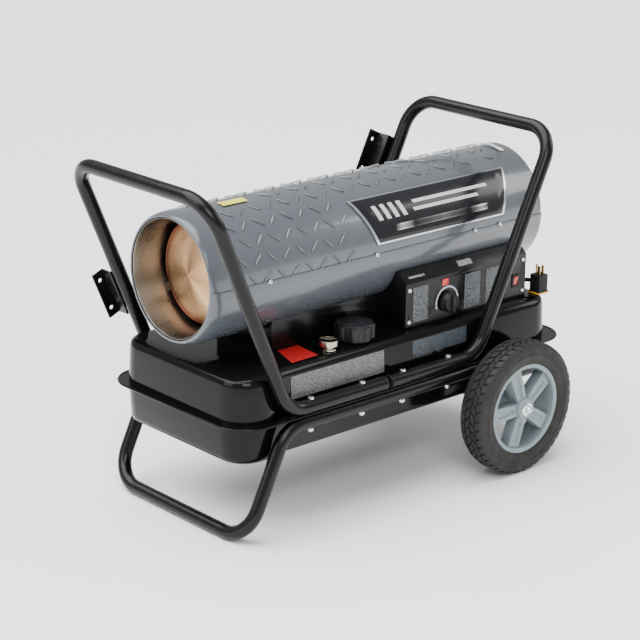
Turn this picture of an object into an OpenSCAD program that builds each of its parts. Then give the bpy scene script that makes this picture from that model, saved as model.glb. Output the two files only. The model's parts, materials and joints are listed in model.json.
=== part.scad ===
// Forced-air kerosene heater on a wheeled tube frame.
// X runs along the barrel with the hot-air outlet at -X, Z is up and the ground is z = 0.

/* [Barrel] */
// Outer radius of the upper shell
barrel_r = 118; // [114:1:122]
// Height of the barrel's axis above the ground
barrel_z = 440; // [436:1:446]
// X of the outlet end of the barrel
mouth_x = -374; // [-380:1:-366]
// X of the inlet end of the barrel
rear_x = 435; // [430:1:438]
// Radius of the shell's lip at the outlet
lip_r = 109; // [107:1:111]
// Thickness of the shell sheet
shell_t = 2; // [1:0.1:2]

/* [Combustion chamber] */
// Inner radius of the chamber tube
chamber_r = 104; // [100:1:105]
// X of the closed end of the chamber
chamber_back_x = -60; // [-100:5:-40]
// X of the flame target's rim
target_x = -308; // [-320:1:-290]
// Radius of the flame target
target_r = 92; // [88:1:94]

/* [Tank] */
// Height of the plane where the two pans meet
seam_z = 211.7; // [211.7:0.1:211.7]
// Depth of the upper pan
upper_depth = 80.3; // [70:0.1:82]
// Depth of the lower pan
lower_depth = 73.7; // [60:0.1:74]
// X of the front face of the pans
tank_front_x = -360; // [-364:1:-350]
// X of the rear face of the pans
tank_rear_x = 421; // [410:1:425]
// Half of the width of the pans at their ends
tank_half_w = 169; // [168:1:174]
// Half of the width of the pans between the handles' bends
tank_waist_w = 160; // [156:1:162]
// Half of the width of the flange
flange_half_w = 190; // [190:1:192]

/* [Frame] */
// Outer diameter of the frame's tube
tube_d = 25.4; // [25.4:0.1:25.4]
// Wall of the frame's tube
tube_wall = 1.5; // [1.2:0.1:2]
// Distance from the centre plane to each side tube
tube_y = 184; // [183:1:185]
// Radius of the bends at the tube's centre line
bend_r = 58; // [50:1:62]
// Height of the handles' top bars
grip_z = 620.6; // [610:0.1:630]

/* [Wheels] */
// Radius of the tyres
wheel_r = 127; // [125:1:127]
// X of the axle
axle_x = 253; // [250:1:256]
// Radius of the axle
axle_r = 8; // [7:0.5:8]
// Y of the tyre's inner side
wheel_in_y = 206; // [204:1:208]
// Y of the tyre's outer side
wheel_out_y = 264; // [262:1:266]
// Radius of the seat between rim and tyre
rim_r = 86; // [84:1:88]

/* [Filler and gauge] */
// Place of the filler neck on the tank
filler_xy = [-50, -115]; // [-60:1:-40]
// Place of the fuel gauge on the tank
gauge_xy = [-125, -129]; // [-130:1:-118]

/* [Control box] */
// X of the box's front end
box_x0 = 54; // [50:1:58]
// X of the box's rear end
box_x1 = 371; // [366:1:376]
// Y of the box's face
box_y = -138; // [-140:1:-136]
// Thickness of the sheet-metal covers
cover_t = 1.2; // [1:0.1:1.5]

/* [Hidden] */
$fn = 64;

steel_black = "#1b1b1b";
shell_grey = "#7f868e";
bright = "#c9ccd0";

tube_r = tube_d / 2;
tube_in = tube_r - tube_wall;
tank_t = 1.2;
tank_top_z = seam_z + upper_depth;
tank_floor_z = seam_z - lower_depth;
handle_run_z = seam_z + 1 + tube_r;
stand_run_z = seam_z - 1 - tube_r;
barrel_in = barrel_r - shell_t;
lower_r = barrel_in - 0.1;
skirt_z = barrel_z - 13;
deck_z = tank_top_z;
flange_rear_x = 448.7;

// Front handle: foot of the run, bend at the tank, corner at the grip.
front_path = [[-42, 0, handle_run_z], [-266.5, 0, handle_run_z], [-436, 0, grip_z]];
rear_path = [[-27, 0, handle_run_z], [192, 0, handle_run_z], [382, 0, grip_z]];
stand_foot_x = -357.6;
stand_bend_x = -270.6;
stand_rear_x = 214;
stand_end = [264, 0, 106];
front_bolts_x = [-214.5, -94];
rear_bolts_x = [4.5, 120];
bolt_r = 3;
bolt_hole_r = 3.2;

screw_xs = [-250, 0, 250, 316];
screw_z = barrel_z - 1.5;

knob_xz = [160, 325];
display_xz = [154, 363];
switch_xz = [343, 328];
panel_screw_xz = [[63, 364], [63, 304], [362, 366], [363, 305]];

motor_x0 = 262;
motor_x1 = 372;
motor_r = 43;
shaft_r = 6;
fan_x = 224;
fan_r = 104;
pump_x = motor_x1 + 6;
pump_len = 16;
pump_r = 38;

hub_in_y = 199.5;
hub_out_y = 262;
neck_r = 24;
cap_r = 37;
cap_h = 33;
neck_top_z = deck_z + 22;
gauge_r = 18;

// ---------- helpers ----------

function unit(v) = v / norm(v);
function side_of(v) = abs(v.z) > 0.9 ? unit(cross([1, 0, 0], v)) : unit(cross([0, 0, 1], v));

// Places children so that their +Z runs along direction d from point p.
module along(p, d) {
    z = unit(d);
    x = side_of(z);
    y = cross(z, x);
    multmatrix([
        [x.x, y.x, z.x, p.x],
        [x.y, y.y, z.y, p.y],
        [x.z, y.z, z.z, p.z],
        [0, 0, 0, 1]
    ]) children();
}

module ring(r_out, r_in) {
    difference() {
        circle(r_out);
        circle(r_in);
    }
}

// Straight piece, a hair thinner than the elbows so that its ends seat inside them.
seat = 0.5;
seat_slack = 0.15;
module tube_run(a, b, r_out, r_in) {
    along(a, b - a) linear_extrude(norm(b - a)) ring(r_out - seat_slack, r_in + seat_slack);
}

// Elbow at corner b between a and c.
module tube_elbow(a, b, c, r_bend, r_out, r_in) {
    u = unit(b - a);
    v = unit(c - b);
    turn = acos(u * v);
    n = unit(cross(u, v));
    start = b - u * r_bend * tan(turn / 2);
    out = unit(cross(u, n));
    centre = start - out * r_bend;
    multmatrix([
        [out.x, u.x, n.x, centre.x],
        [out.y, u.y, n.y, centre.y],
        [out.z, u.z, n.z, centre.z],
        [0, 0, 0, 1]
    ]) rotate_extrude(angle = turn) translate([r_bend, 0]) ring(r_out, r_in);
}

function bend_cut(p, i, r) =
    i == 0 || i == len(p) - 1 ? 0
    : r * tan(acos(unit(p[i] - p[i - 1]) * unit(p[i + 1] - p[i])) / 2) - seat;

// Bent tube through the corner points p.
module bent_tube(p, r_bend, r_out, r_in) {
    for (i = [0:len(p) - 2]) {
        u = unit(p[i + 1] - p[i]);
        tube_run(p[i] + u * bend_cut(p, i, r_bend), p[i + 1] - u * bend_cut(p, i + 1, r_bend), r_out, r_in);
    }
    for (i = [1:len(p) - 2]) tube_elbow(p[i - 1], p[i], p[i + 1], r_bend, r_out, r_in);
}

function at_y(p, y) = [p.x, y, p.z];
function mirrored_path(p) = concat(
    [for (q = p) at_y(q, -tube_y)],
    [for (i = [len(p) - 1:-1:0]) at_y(p[i], tube_y)]
);

// Revolves a (radius, x) profile about the barrel's axis, from angle start over sweep degrees.
// Angle 0 points down, 90 to +Y, 180 up.
module about_barrel(start = 0, sweep = 360) {
    translate([0, 0, barrel_z]) rotate([0, 90, 0]) rotate([0, 0, start])
        rotate_extrude(angle = sweep) children();
}

module x_rod(x0, x1, r, y = 0, z = barrel_z) {
    translate([x0, y, z]) rotate([0, 90, 0]) cylinder(h = x1 - x0, r = r);
}

module y_rod(y0, y1, r, x, z) {
    translate([x, y0, z]) rotate([-90, 0, 0]) cylinder(h = y1 - y0, r = r);
}

module box(lo, hi) {
    translate(lo) cube(hi - lo);
}

function arc(c, r, a0, a1, n) = [for (i = [0:n]) c + r * [cos(a0 + (a1 - a0) * i / n), sin(a0 + (a1 - a0) * i / n)]];

// Plan outline of a pan: rounded corners, and a waist between x_a and x_b.
waist_a = -292;
waist_b = 216;
waist_run = 24;
function plan(x0, x1, w, waist, r) =
    let (half = concat(
        arc([x0 + r, -(w - r)], r, 180, 270, 8),
        [[waist_a, -w], [waist_a + waist_run, -waist], [waist_b - waist_run, -waist], [waist_b, -w]],
        arc([x1 - r, -(w - r)], r, 270, 360, 8)
    ))
    concat(half, [for (i = [len(half) - 1:-1:0]) [half[i].x, -half[i].y]]);
function pan_ring(inset, z) = [for (p = plan(tank_front_x + inset, tank_rear_x - inset, tank_half_w - inset,
    tank_waist_w - inset, 52 - inset)) [p.x, p.y, z]];
function flange_ring(z) = [for (p = plan(tank_front_x - 18, flange_rear_x, flange_half_w,
    flange_half_w, 62)) [p.x, p.y, z]];

// Closed solid through rings of equal length, capped at both ends with triangles round a hub point.
module loft(rings, hub_a, hub_b) {
    n = len(rings[0]);
    m = len(rings);
    polyhedron(
        points = concat([for (r = rings) each r], [hub_a, hub_b]),
        faces = concat(
            [for (j = [0:n - 1]) [j, (j + 1) % n, m * n]],
            [for (i = [0:m - 2], j = [0:n - 1])
                [i * n + j, (i + 1) * n + j, (i + 1) * n + (j + 1) % n, i * n + (j + 1) % n]],
            [for (j = [0:n - 1]) [(m - 1) * n + (j + 1) % n, (m - 1) * n + j, m * n + 1]]
        ),
        convexity = 6
    );
}

pan_hub_x = 30;
// Pressed pan, open downwards, with its flange's mating face at z = 0.
module pan(depth, flange_t) {
    t = tank_t;
    loft([
        pan_ring(16, depth - t), pan_ring(9, depth - t - 1.4), pan_ring(3.6, depth - t - 5.4),
        pan_ring(t, depth - 14), pan_ring(t - 3, 0), flange_ring(0), flange_ring(flange_t),
        pan_ring(-3, flange_t), pan_ring(0, depth - 14), pan_ring(2.4, depth - 5.4),
        pan_ring(8, depth - 1.4), pan_ring(16, depth)
    ], [pan_hub_x, 0, depth - t], [pan_hub_x, 0, depth]);
}

module bolt_holes() {
    for (x = concat(front_bolts_x, rear_bolts_x), s = [-1, 1])
        translate([x, s * tube_y, stand_run_z - 20]) cylinder(h = 80, r = bolt_hole_r);
}

module pan_head(r, h) {
    cylinder(h = h * 0.45, r = r);
    translate([0, 0, h * 0.45]) cylinder(h = h * 0.55, r1 = r, r2 = r * 0.62);
}

// ---------- barrel ----------

// Shell section from lip to rear edge; r is the outer radius of the straight part.
module shell_section(r) {
    nose = 30;
    a = [for (i = [0:10]) [lip_r + (r - lip_r) * sin(90 * i / 10), mouth_x + nose * (1 - cos(90 * i / 10))]];
    t = shell_t;
    b = [for (i = [10:-1:0]) [lip_r - t + (r - lip_r) * sin(90 * i / 10),
        mouth_x + t * 0.4 + nose * (1 - cos(90 * i / 10))]];
    polygon(concat(a, [[r, rear_x - 5], [r - 1.6, rear_x - 1.4], [r - 5, rear_x]],
        [[r - 5, rear_x - t], [r - t - 0.6, rear_x - 5]], b));
}

module upper_shell() color(shell_grey) difference() {
    union() {
        about_barrel(90, 180) shell_section(barrel_r);
        for (s = [-1, 1])
            box([mouth_x + 34, s > 0 ? barrel_in : -barrel_r, skirt_z],
                [rear_x - 6, s > 0 ? barrel_r : -barrel_in, barrel_z + 0.5]);
    }
    for (x = screw_xs) y_rod(-barrel_r - 5, barrel_r + 5, 2.2, x, screw_z);
}

module lower_shell() color(shell_grey) difference() {
    translate([0, 0, -0.05]) about_barrel(270, 180) shell_section(lower_r);
    for (x = screw_xs) y_rod(-barrel_r - 5, barrel_r + 5, 2.2, x, screw_z);
    // openings for the chamber's air and fuel lines, and for the wiring into the base
    translate([230, 0, barrel_z - barrel_r - 5]) cylinder(h = 20, r = 14);
    translate([0, 0, barrel_z - barrel_r - 5]) cylinder(h = 20, r = 14);
}

module shell_screws() color(bright) for (x = screw_xs, s = [-1, 1])
    translate([x, s * barrel_r, screw_z]) rotate([-90 * s, 0, 0]) {
        pan_head(4.6, 3);
        translate([0, 0, -8]) cylinder(h = 8.1, r = 2.1);
    }

// Name plate that follows the shell's curve on the left side, with slanted ends.
badge_bottom_x = [2, 326];
badge_top_x = [-36, 365];
badge_angle = [8, 52];
module badge_plate() color("#26282b") intersection() {
    about_barrel(270 - badge_angle[1], badge_angle[1] - badge_angle[0])
        polygon([[barrel_r, badge_top_x[0] - 20], [barrel_r + 1.2, badge_top_x[0] - 20],
            [barrel_r + 1.2, badge_top_x[1] + 20], [barrel_r, badge_top_x[1] + 20]]);
    translate([0, -40, 0]) rotate([90, 0, 0]) linear_extrude(120)
        polygon([[badge_bottom_x[0], barrel_z + 16], [badge_bottom_x[1], barrel_z + 16],
            [badge_top_x[1], barrel_z + 94], [badge_top_x[0], barrel_z + 94]]);
}

// ---------- combustion chamber and burner ----------

module combustion_chamber() color("#8d8880") difference() {
    union() {
        about_barrel() polygon([
            [chamber_r, mouth_x + 2], [chamber_r + 1, mouth_x + 2], [chamber_r + 1, chamber_back_x + 1],
            [40, chamber_back_x + 1], [40, chamber_back_x], [chamber_r, chamber_back_x]
        ]);
        // stand-offs that carry the chamber in the shell
        for (x = [-330, -100], a = [30, 330]) turned(a) box([x, -8, -lower_r + shell_t + 0.7], [x + 16, 8, -chamber_r - 0.5]);
    }
    for (a = target_angles) target_rivet(a, 2.4, 96, 110);
}

target_angles = [62, 182, 302];
// Turns children about the barrel's axis; angle 0 leaves -Z pointing down.
module turned(a) {
    translate([0, 0, barrel_z]) rotate([a, 0, 0]) children();
}

// Radial rivet at the end of a target tab.
module target_rivet(a, r, r0, r1) {
    turned(a) translate([target_x + 6, 0, -r1]) cylinder(h = r1 - r0, r = r);
}

module flame_target() color("#b3835a") {
    about_barrel() polygon([
        [0, target_x - 27], [target_r - 2, target_x - 2], [target_r, target_x], [target_r, target_x + 8],
        [target_r - 1.2, target_x + 8], [target_r - 1.2, target_x + 0.6], [target_r - 2.6, target_x - 0.8],
        [0, target_x - 25.8]
    ]);
    for (a = target_angles) {
        turned(a) translate([target_x, 0, 0]) {
            box([0.5, -7, -chamber_r + 0.4], [1.7, 7, -target_r + 1]);
            box([0.5, -7, -chamber_r + 0.4], [12, 7, -chamber_r + 1.6]);
        }
        target_rivet(a, 2.3, chamber_r - 1.8, chamber_r + 2.4);
    }
}

// Swirl plate with slots round the nozzle, bolted to the chamber's closed end.
module burner_head() color("#6f7174") difference() {
    about_barrel() polygon([[16, chamber_back_x + 1], [62, chamber_back_x + 1],
        [62, chamber_back_x + 3], [38, chamber_back_x + 3], [34, chamber_back_x + 22],
        [16, chamber_back_x + 22]]);
    for (i = [0:9]) turned(i * 36 + 18) box([chamber_back_x - 2, -2.5, 20], [chamber_back_x + 30, 2.5, 29]);
}

module nozzle() color("#b59a4a") difference() {
    union() {
        x_rod(chamber_back_x - 6, chamber_back_x + 34, 9);
        x_rod(chamber_back_x + 22, chamber_back_x + 30, 19);
        x_rod(chamber_back_x - 12, chamber_back_x - 6, 5.5);
    }
    x_rod(chamber_back_x - 14, chamber_back_x - 2, 1.6);
}

igniter_y = -14;
module igniter() color("#d8d4c8") {
    for (s = [-1, 1]) {
        x_rod(chamber_back_x - 14, chamber_back_x + 40, 1.2, igniter_y + s * 5, barrel_z - 28);
        x_rod(chamber_back_x + 6, chamber_back_x + 34, 3.4, igniter_y + s * 5, barrel_z - 28);
    }
    box([chamber_back_x + 22.2, igniter_y - 10, barrel_z - 33], [chamber_back_x + 28, igniter_y + 10, barrel_z - 22]);
}

module photocell() color("#303236") difference() {
    union() {
        x_rod(chamber_back_x + 22, chamber_back_x + 46, 6, 0, barrel_z + 27);
        x_rod(chamber_back_x + 46, chamber_back_x + 52, 9, 0, barrel_z + 27);
    }
    x_rod(chamber_back_x + 20, chamber_back_x + 30, 3.5, 0, barrel_z + 27);
}

// ---------- motor, fan and air pump ----------

module motor() color("#3b3d40") difference() {
    union() {
        x_rod(motor_x0 + 8, motor_x1 - 6, motor_r);
        x_rod(motor_x0, motor_x0 + 8, motor_r - 6);
        x_rod(motor_x1 - 6, motor_x1, motor_r - 6);
        for (i = [0:11]) turned(i * 30) box([motor_x0 + 16, -1.5, motor_r - 2], [motor_x1 - 14, 1.5, motor_r + 3]);
    }
    x_rod(motor_x0 - 1, motor_x1 + 1, shaft_r + 0.06);
}

// Plate that straps the motor to the lower shell.
module motor_bracket() color("#a9acb0") difference() {
    union() {
        x_rod(motor_x0 + 10, motor_x0 + 13, 58);
        for (a = [-55, 0, 55]) turned(a) {
            box([motor_x0 + 10, -14, -lower_r + shell_t + 2], [motor_x0 + 13, 14, -48]);
            box([motor_x0 + 10, -14, -lower_r + shell_t + 2], [motor_x0 + 28, 14, -lower_r + shell_t + 4]);
        }
    }
    x_rod(motor_x0 + 5, motor_x0 + 20, motor_r);
}

module motor_shaft() color("silver") {
    x_rod(fan_x - 18, pump_x + pump_len - 2, shaft_r);
}

// Axial fan: hub and five pitched blades.
module fan() color("#b9bcc0") difference() {
    union() {
        x_rod(fan_x - 14, fan_x + 14, 20);
        for (i = [0:4]) turned(i * 72) translate([fan_x, 0, 0]) rotate([0, 0, 28])
            intersection() {
                box([-1.1, -34, 10], [1.1, 34, fan_r + 4]);
                rotate([0, 90, 0]) translate([0, 0, -3]) linear_extrude(6)
                    polygon([[-12, -14], [-40, -26], [-fan_r + 6, -33], [-fan_r - 3, -22], [-fan_r - 3, 18],
                        [-fan_r + 4, 31], [-40, 22], [-12, 14]]);
            }
    }
    x_rod(fan_x - 20, fan_x + 20, shaft_r);
    // the blade tips run on one circle
    about_barrel() polygon([[fan_r, fan_x - 30], [fan_r + 20, fan_x - 30],
        [fan_r + 20, fan_x + 30], [fan_r, fan_x + 30]]);
}

module pump_body() color("#8f9296") difference() {
    union() {
        x_rod(motor_x1, pump_x, 40);
        x_rod(pump_x, pump_x + pump_len, pump_r);
    }
    x_rod(motor_x1 - 1, pump_x + 1, shaft_r + 0.5);
    x_rod(pump_x, pump_x + pump_len + 1, 26);
}

module pump_rotor() color("#55585c") difference() {
    union() {
        x_rod(pump_x + 0.4, pump_x + pump_len - 0.5, 22);
        for (i = [0:3]) turned(i * 90 + 20) box([pump_x + 0.4, -1.5, 16], [pump_x + pump_len - 0.5, 1.5, 25.4]);
    }
    x_rod(pump_x - 1, pump_x + pump_len + 1, shaft_r);
}

module pump_cover() color("#a2a5a9") difference() {
    union() {
        x_rod(pump_x + pump_len, pump_x + pump_len + 8, 40);
        x_rod(pump_x + pump_len + 8, pump_x + pump_len + 20, 34);
        x_rod(pump_x + pump_len + 8, pump_x + pump_len + 24, 6, 0, barrel_z + 20);
        x_rod(pump_x + pump_len + 2, pump_x + pump_len + 30, 5, 18, barrel_z - 8);
    }
    x_rod(pump_x + pump_len + 10, pump_x + pump_len + 19, 30);
    for (y = [-12, 0, 12], z = [-12, 0]) x_rod(pump_x + pump_len + 18, pump_x + pump_len + 21, 3, y, barrel_z + z);
}

module air_filter() color("#d9d3bd") difference() {
    x_rod(pump_x + pump_len + 10.2, pump_x + pump_len + 18.8, 29.6);
    x_rod(pump_x + pump_len + 9, pump_x + pump_len + 20, 5.6, 18, barrel_z - 8);
    x_rod(pump_x + pump_len + 9, pump_x + pump_len + 20, 6.6, 0, barrel_z + 20);
}

// Wire guard over the inlet: rings and spokes on a rim that clips into the shell.
guard_x = rear_x - 3;
module fan_guard() color("#202225") {
    for (r = [24:12:96]) about_barrel() translate([r, guard_x + 3]) circle(1.4, $fn = 16);
    about_barrel() translate([106, guard_x + 1]) circle(2.2, $fn = 16);
    for (i = [0:5]) turned(i * 60 + 30) box([guard_x - 0.5, -1.5, 15], [guard_x + 2.6, 1.5, 106]);
    x_rod(guard_x - 0.5, guard_x + 4.5, 18);
    for (i = [0:3]) turned(45 + i * 90) box([guard_x - 4, -6, 104.5], [guard_x - 0.5, 6, lower_r - shell_t - 2.4]);
}

// Plain tube swept along a list of points, with flat ends.
function tangent(p, i) = unit(p[min(i + 1, len(p) - 1)] - p[max(i - 1, 0)]);
function swept_ring(p, i, r, n) =
    let (t = tangent(p, i), x = side_of(t), y = cross(t, x))
    [for (j = [0:n - 1]) p[i] + r * (x * cos(360 * j / n) + y * sin(360 * j / n))];

// Catmull-Rom point between b and c.
function between(a, b, c, d, t) = 0.5 * ((2 * b) + (c - a) * t + (2 * a - 5 * b + 4 * c - d) * t * t
    + (3 * b - a - 3 * c + d) * t * t * t);
function smooth(p, steps) = concat([for (i = [0:len(p) - 2], k = [0:steps - 1])
    between(p[max(i - 1, 0)], p[i], p[i + 1], p[min(i + 2, len(p) - 1)], k / steps)], [p[len(p) - 1]]);

// Hose clipped along the inside of the lower shell, from the pump's outlet to the nozzle.
hose_angle = 28;
hose_path_r = 109.8;
hose_r = 3;
nozzle_port_x = chamber_back_x + 28;
module air_line() color("#3a3a3a") turned(hose_angle) {
    translate([nozzle_port_x - hose_r, 0, -hose_path_r]) rotate([0, 90, 0])
        cylinder(h = pump_x + pump_len / 2 - nozzle_port_x + 2 * hose_r, r = hose_r);
    translate([pump_x + pump_len / 2, 0, -hose_path_r]) cylinder(h = hose_path_r - pump_r + 0.4, r = hose_r - 0.05);
    translate([nozzle_port_x, 0, -hose_path_r]) cylinder(h = hose_path_r - 18, r = hose_r - 0.05);
}

module fuel_line() color("#a08a4a") {
    x_rod(chamber_back_x + 34, 0, 3, 0, barrel_z);
    translate([0, 0, deck_z + 10]) cylinder(h = barrel_z - deck_z - 7, r = 3);
}

// ---------- base and controls ----------

module barrel_clearance(r = barrel_r + 0.4) {
    x_rod(mouth_x - 50, rear_x + 50, r);
}

base_x0 = -210;
base_x1 = 340;
base_y = 76;
module base_housing() color(steel_black) difference() {
    box([base_x0, -base_y, deck_z], [base_x1, base_y, deck_z + 80]);
    box([base_x0 + cover_t, -base_y + cover_t, deck_z - 1], [base_x1 - cover_t, base_y - cover_t, deck_z + 90]);
    barrel_clearance();
    // wiring pass into the control box
    y_rod(-base_y - 5, -base_y + 5, 14, 230, deck_z + 26);
    // louvres on the far side
    for (x = [-150:30:300]) box([x, base_y - 3, deck_z + 14], [x + 4, base_y + 3, deck_z + 44]);
    x_rod(base_x1 - 5, base_x1 + 5, 8.2, gland_yz.x, gland_yz.y);
}

box_z0 = deck_z + 0.6;
box_z1 = 377;
box_shoulder = [-117, 395];
function box_profile(inset) = [
    [-base_y - 0.1 - inset, box_z0 + inset], [box_y + inset, box_z0 + inset], [box_y + inset, box_z1 - inset * 0.4],
    [box_shoulder.x + inset * 0.4, box_shoulder.y - inset], [-base_y - 0.1 - inset, box_shoulder.y - inset]
];
module box_block(inset, x0, x1) {
    translate([x0, 0, 0]) rotate([90, 0, 90]) linear_extrude(x1 - x0) polygon(box_profile(inset));
}

module control_box() color(steel_black) difference() {
    box_block(0, box_x0, box_x1);
    box_block(cover_t, box_x0 + cover_t, box_x1 - cover_t);
    // open back towards the base, and the barrel's curve
    box([box_x0 + cover_t, -base_y - 6, box_z0 + cover_t], [box_x1 - cover_t, -base_y + 5, 400]);
    barrel_clearance();
    y_rod(box_y - 5, box_y + 5, 5, knob_xz.x, knob_xz.y);
    box([display_xz.x - 8, box_y - 5, display_xz.y - 6.5], [display_xz.x + 8, box_y + 5, display_xz.y + 6.5]);
    box([switch_xz.x - 7, box_y - 5, switch_xz.y - 11], [switch_xz.x + 7, box_y + 5, switch_xz.y + 11]);
    for (p = panel_screw_xz) y_rod(box_y - 5, box_y + 5, 2.2, p.x, p.y);
}

module panel_screws() color(bright) for (p = panel_screw_xz)
    translate([p.x, box_y, p.y]) rotate([90, 0, 0]) {
        pan_head(4.4, 2.8);
        translate([0, 0, -7]) cylinder(h = 7.1, r = 2.1);
    }

// Round control knob with a raised finger bar.
module knob() color("#141414") translate([knob_xz.x, box_y - 1, knob_xz.y]) rotate([90, 0, 0]) {
    difference() {
        union() {
            cylinder(h = 5, r = 20);
            translate([0, 0, 5]) cylinder(h = 9, r1 = 18.5, r2 = 16.5);
            box([-3.5, -16, 13.8], [3.5, 16, 19]);
        }
        translate([0, 0, -1]) cylinder(h = 12, r = 3.06);
    }
}

module thermostat() color("#d6d2c2") translate([knob_xz.x, box_y, knob_xz.y]) rotate([90, 0, 0]) {
    translate([0, 0, -8]) cylinder(h = 17, r = 3);
    translate([0, 0, -6]) cylinder(h = 4.6, r = 9);
    box([-17, -14, -24], [17, 14, -6.01]);
}

module display() color("#b8201c") union() {
    box([display_xz.x - 7.9, box_y - 0.8, display_xz.y - 6.4], [display_xz.x + 7.9, box_y + 4, display_xz.y + 6.4]);
    box([display_xz.x - 11, box_y + cover_t + 0.05, display_xz.y - 9], [display_xz.x + 11, box_y + 8, display_xz.y + 9]);
}

module switch_body() color("#161616") difference() {
    union() {
        box([switch_xz.x - 9, box_y - 1.6, switch_xz.y - 13], [switch_xz.x + 9, box_y - 0.02, switch_xz.y + 13]);
        box([switch_xz.x - 6.9, box_y - 1.6, switch_xz.y - 10.9], [switch_xz.x + 6.9, box_y + 22, switch_xz.y + 10.9]);
    }
    box([switch_xz.x - 5.5, box_y - 5, switch_xz.y - 9.6], [switch_xz.x + 5.5, box_y + 9, switch_xz.y + 9.6]);
    x_rod(switch_xz.x - 6.6, switch_xz.x + 6.6, 1.66, box_y + 2, switch_xz.y);
}

// Rocker with its two faces, turning on a pin across the switch body.
module rocker() color("#c4271f") translate([switch_xz.x, box_y + 2, switch_xz.y]) rotate([90, 0, 90])
    {
        translate([0, 0, -6.5]) cylinder(h = 13, r = 1.6);
        translate([0, 0, -5.1]) linear_extrude(10.2)
            polygon([[5, -4], [5, 4], [-1.6, 8.2], [-5.4, 8], [-3.2, 0], [-2.6, -8], [-0.4, -8.2]]);
    }

module circuit_board() color("#2f6b3a") {
    box([230, -84, deck_z + 18], [330, -82.4, deck_z + 60]);
    for (x = [240, 270, 300]) box([x, -90, deck_z + 32], [x + 16, -84.01, deck_z + 50]);
    for (x = [236, 324]) box([x, -82.41, deck_z + 22], [x + 4, -base_y, deck_z + 28]);
}

module transformer() color("#4a3a2c") {
    box([60, -34, deck_z], [150, 34, deck_z + 22]);
    box([76, -28, deck_z + 22], [134, 28, deck_z + 27]);
}

// ---------- power lead ----------

gland_yz = [-50, 306];
cord_r = 4;
plug_at = [408, -140];
// Straight out of the strain relief, round towards the left side, and into the plug.
cord_route = [
    [361, -50, 306], [366, -50, 306], [371, -50, 305.6], [376, -50.8, 305], [382, -52.8, 304],
    [388, -56, 303], [393.5, -60.5, 302.4], [398.5, -66, 302.2], [402.5, -72.5, 302.6],
    [405.5, -80, 303.6], [407, -87, 305], [408, -94, 306.8], [408, -101, 308.6], [408, -108, 310.2],
    [408, -115, 311.4], [408, -122, 312]
];
module cord_gland() color("#1a1a1a") {
    x_rod(base_x1 - 6, base_x1 + 1, 8.1, gland_yz.x, gland_yz.y);
    x_rod(base_x1, base_x1 + 3, 11, gland_yz.x, gland_yz.y);
    translate([base_x1 + 3, gland_yz.x, gland_yz.y]) rotate([0, 90, 0]) cylinder(h = 18, r1 = 7.6, r2 = 5.4);
}

module power_cord() color("#1c1c1c") {
    p = smooth(cord_route, 3);
    loft([for (i = [0:len(p) - 1]) swept_ring(p, i, cord_r, 10)], p[0], p[len(p) - 1]);
}

// Upright plug with the lead entering at its back.
plug_base_z = deck_z + 0.3;
module plug() color("#171717") difference() {
    translate([plug_at.x, plug_at.y, 0]) {
        box([-12, -12, plug_base_z + 5], [12, 12, plug_base_z + 37]);
        box([-13.5, -13.5, plug_base_z], [13.5, 13.5, plug_base_z + 5]);
        translate([0, 11, 312]) rotate([-90, 0, 0]) cylinder(h = 7, r1 = 8, r2 = 5.6);
    }
    for (p = prong_at) translate([plug_at.x + p.x, plug_at.y + p.y, plug_base_z + 37]) box([-4, -4, -12], [4, 4, 0.001]);
}

prong_at = [[-5, -4], [5, -4], [0, 6]];
module plug_prongs() color("#b8a777") for (i = [0:2])
    translate([plug_at.x + prong_at[i].x, plug_at.y + prong_at[i].y, plug_base_z + 25])
        if (i == 2) cylinder(h = 30, r = 2.4);
        else box([-0.8, -3.2, 0], [0.8, 3.2, 29]);

// ---------- tank ----------

module tank_top() color(steel_black) difference() {
    translate([0, 0, seam_z]) pan(upper_depth, 1);
    bolt_holes();
    translate([filler_xy.x, filler_xy.y, tank_top_z - 10]) cylinder(h = 20, r = neck_r + 0.1);
    translate([gauge_xy.x, gauge_xy.y, tank_top_z - 10]) cylinder(h = 20, r = 14.1);
    translate([0, 0, tank_top_z - 10]) cylinder(h = 20, r = 4.1);
}

module tank_bottom() color(steel_black) difference() {
    translate([0, 0, seam_z]) mirror([0, 0, 1]) pan(lower_depth, 1);
    bolt_holes();
}

module hex_bolt(len_mm) {
    cylinder(h = 4, r = 5.8, $fn = 6);
    translate([0, 0, -len_mm]) cylinder(h = len_mm + 0.5, r = bolt_r);
    translate([0, 0, -len_mm + 1.9]) cylinder(h = 5, r = 5.8, $fn = 6);
}

// Bolts that clamp handle tube, tank flange and stand tube, and the screws of the cord hooks.
module frame_bolts() color(bright) {
    for (x = concat(front_bolts_x, rear_bolts_x), s = [-1, 1])
        translate([x, s * tube_y, handle_run_z + tube_r]) hex_bolt(4 * tube_r + 2 + 7);
    for (h = [front_hook, rear_hook], t = [-30, 30]) hook_frame(h) translate([t, 0, hook_y0 + hook_t]) {
        pan_head(4.5, 3);
        translate([0, 0, -6]) cylinder(h = 6.1, r = 2.1);
    }
}

// Filler neck with its flange on the deck.
module filler_neck() color("#2a2a2a") translate([filler_xy.x, filler_xy.y, 0]) difference() {
    union() {
        translate([0, 0, deck_z - 8]) cylinder(h = neck_top_z - deck_z + 8, r = neck_r);
        translate([0, 0, deck_z]) cylinder(h = 2, r = neck_r + 5);
    }
    translate([0, 0, deck_z - 9]) cylinder(h = neck_top_z - deck_z + 20, r = neck_r - 2);
}

module cap_gasket() color("#3a1f1a") translate([filler_xy.x, filler_xy.y, neck_top_z + 0.05]) difference() {
    cylinder(h = 2.4, r = neck_r);
    translate([0, 0, -1]) cylinder(h = 5, r = neck_r - 5);
}

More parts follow.
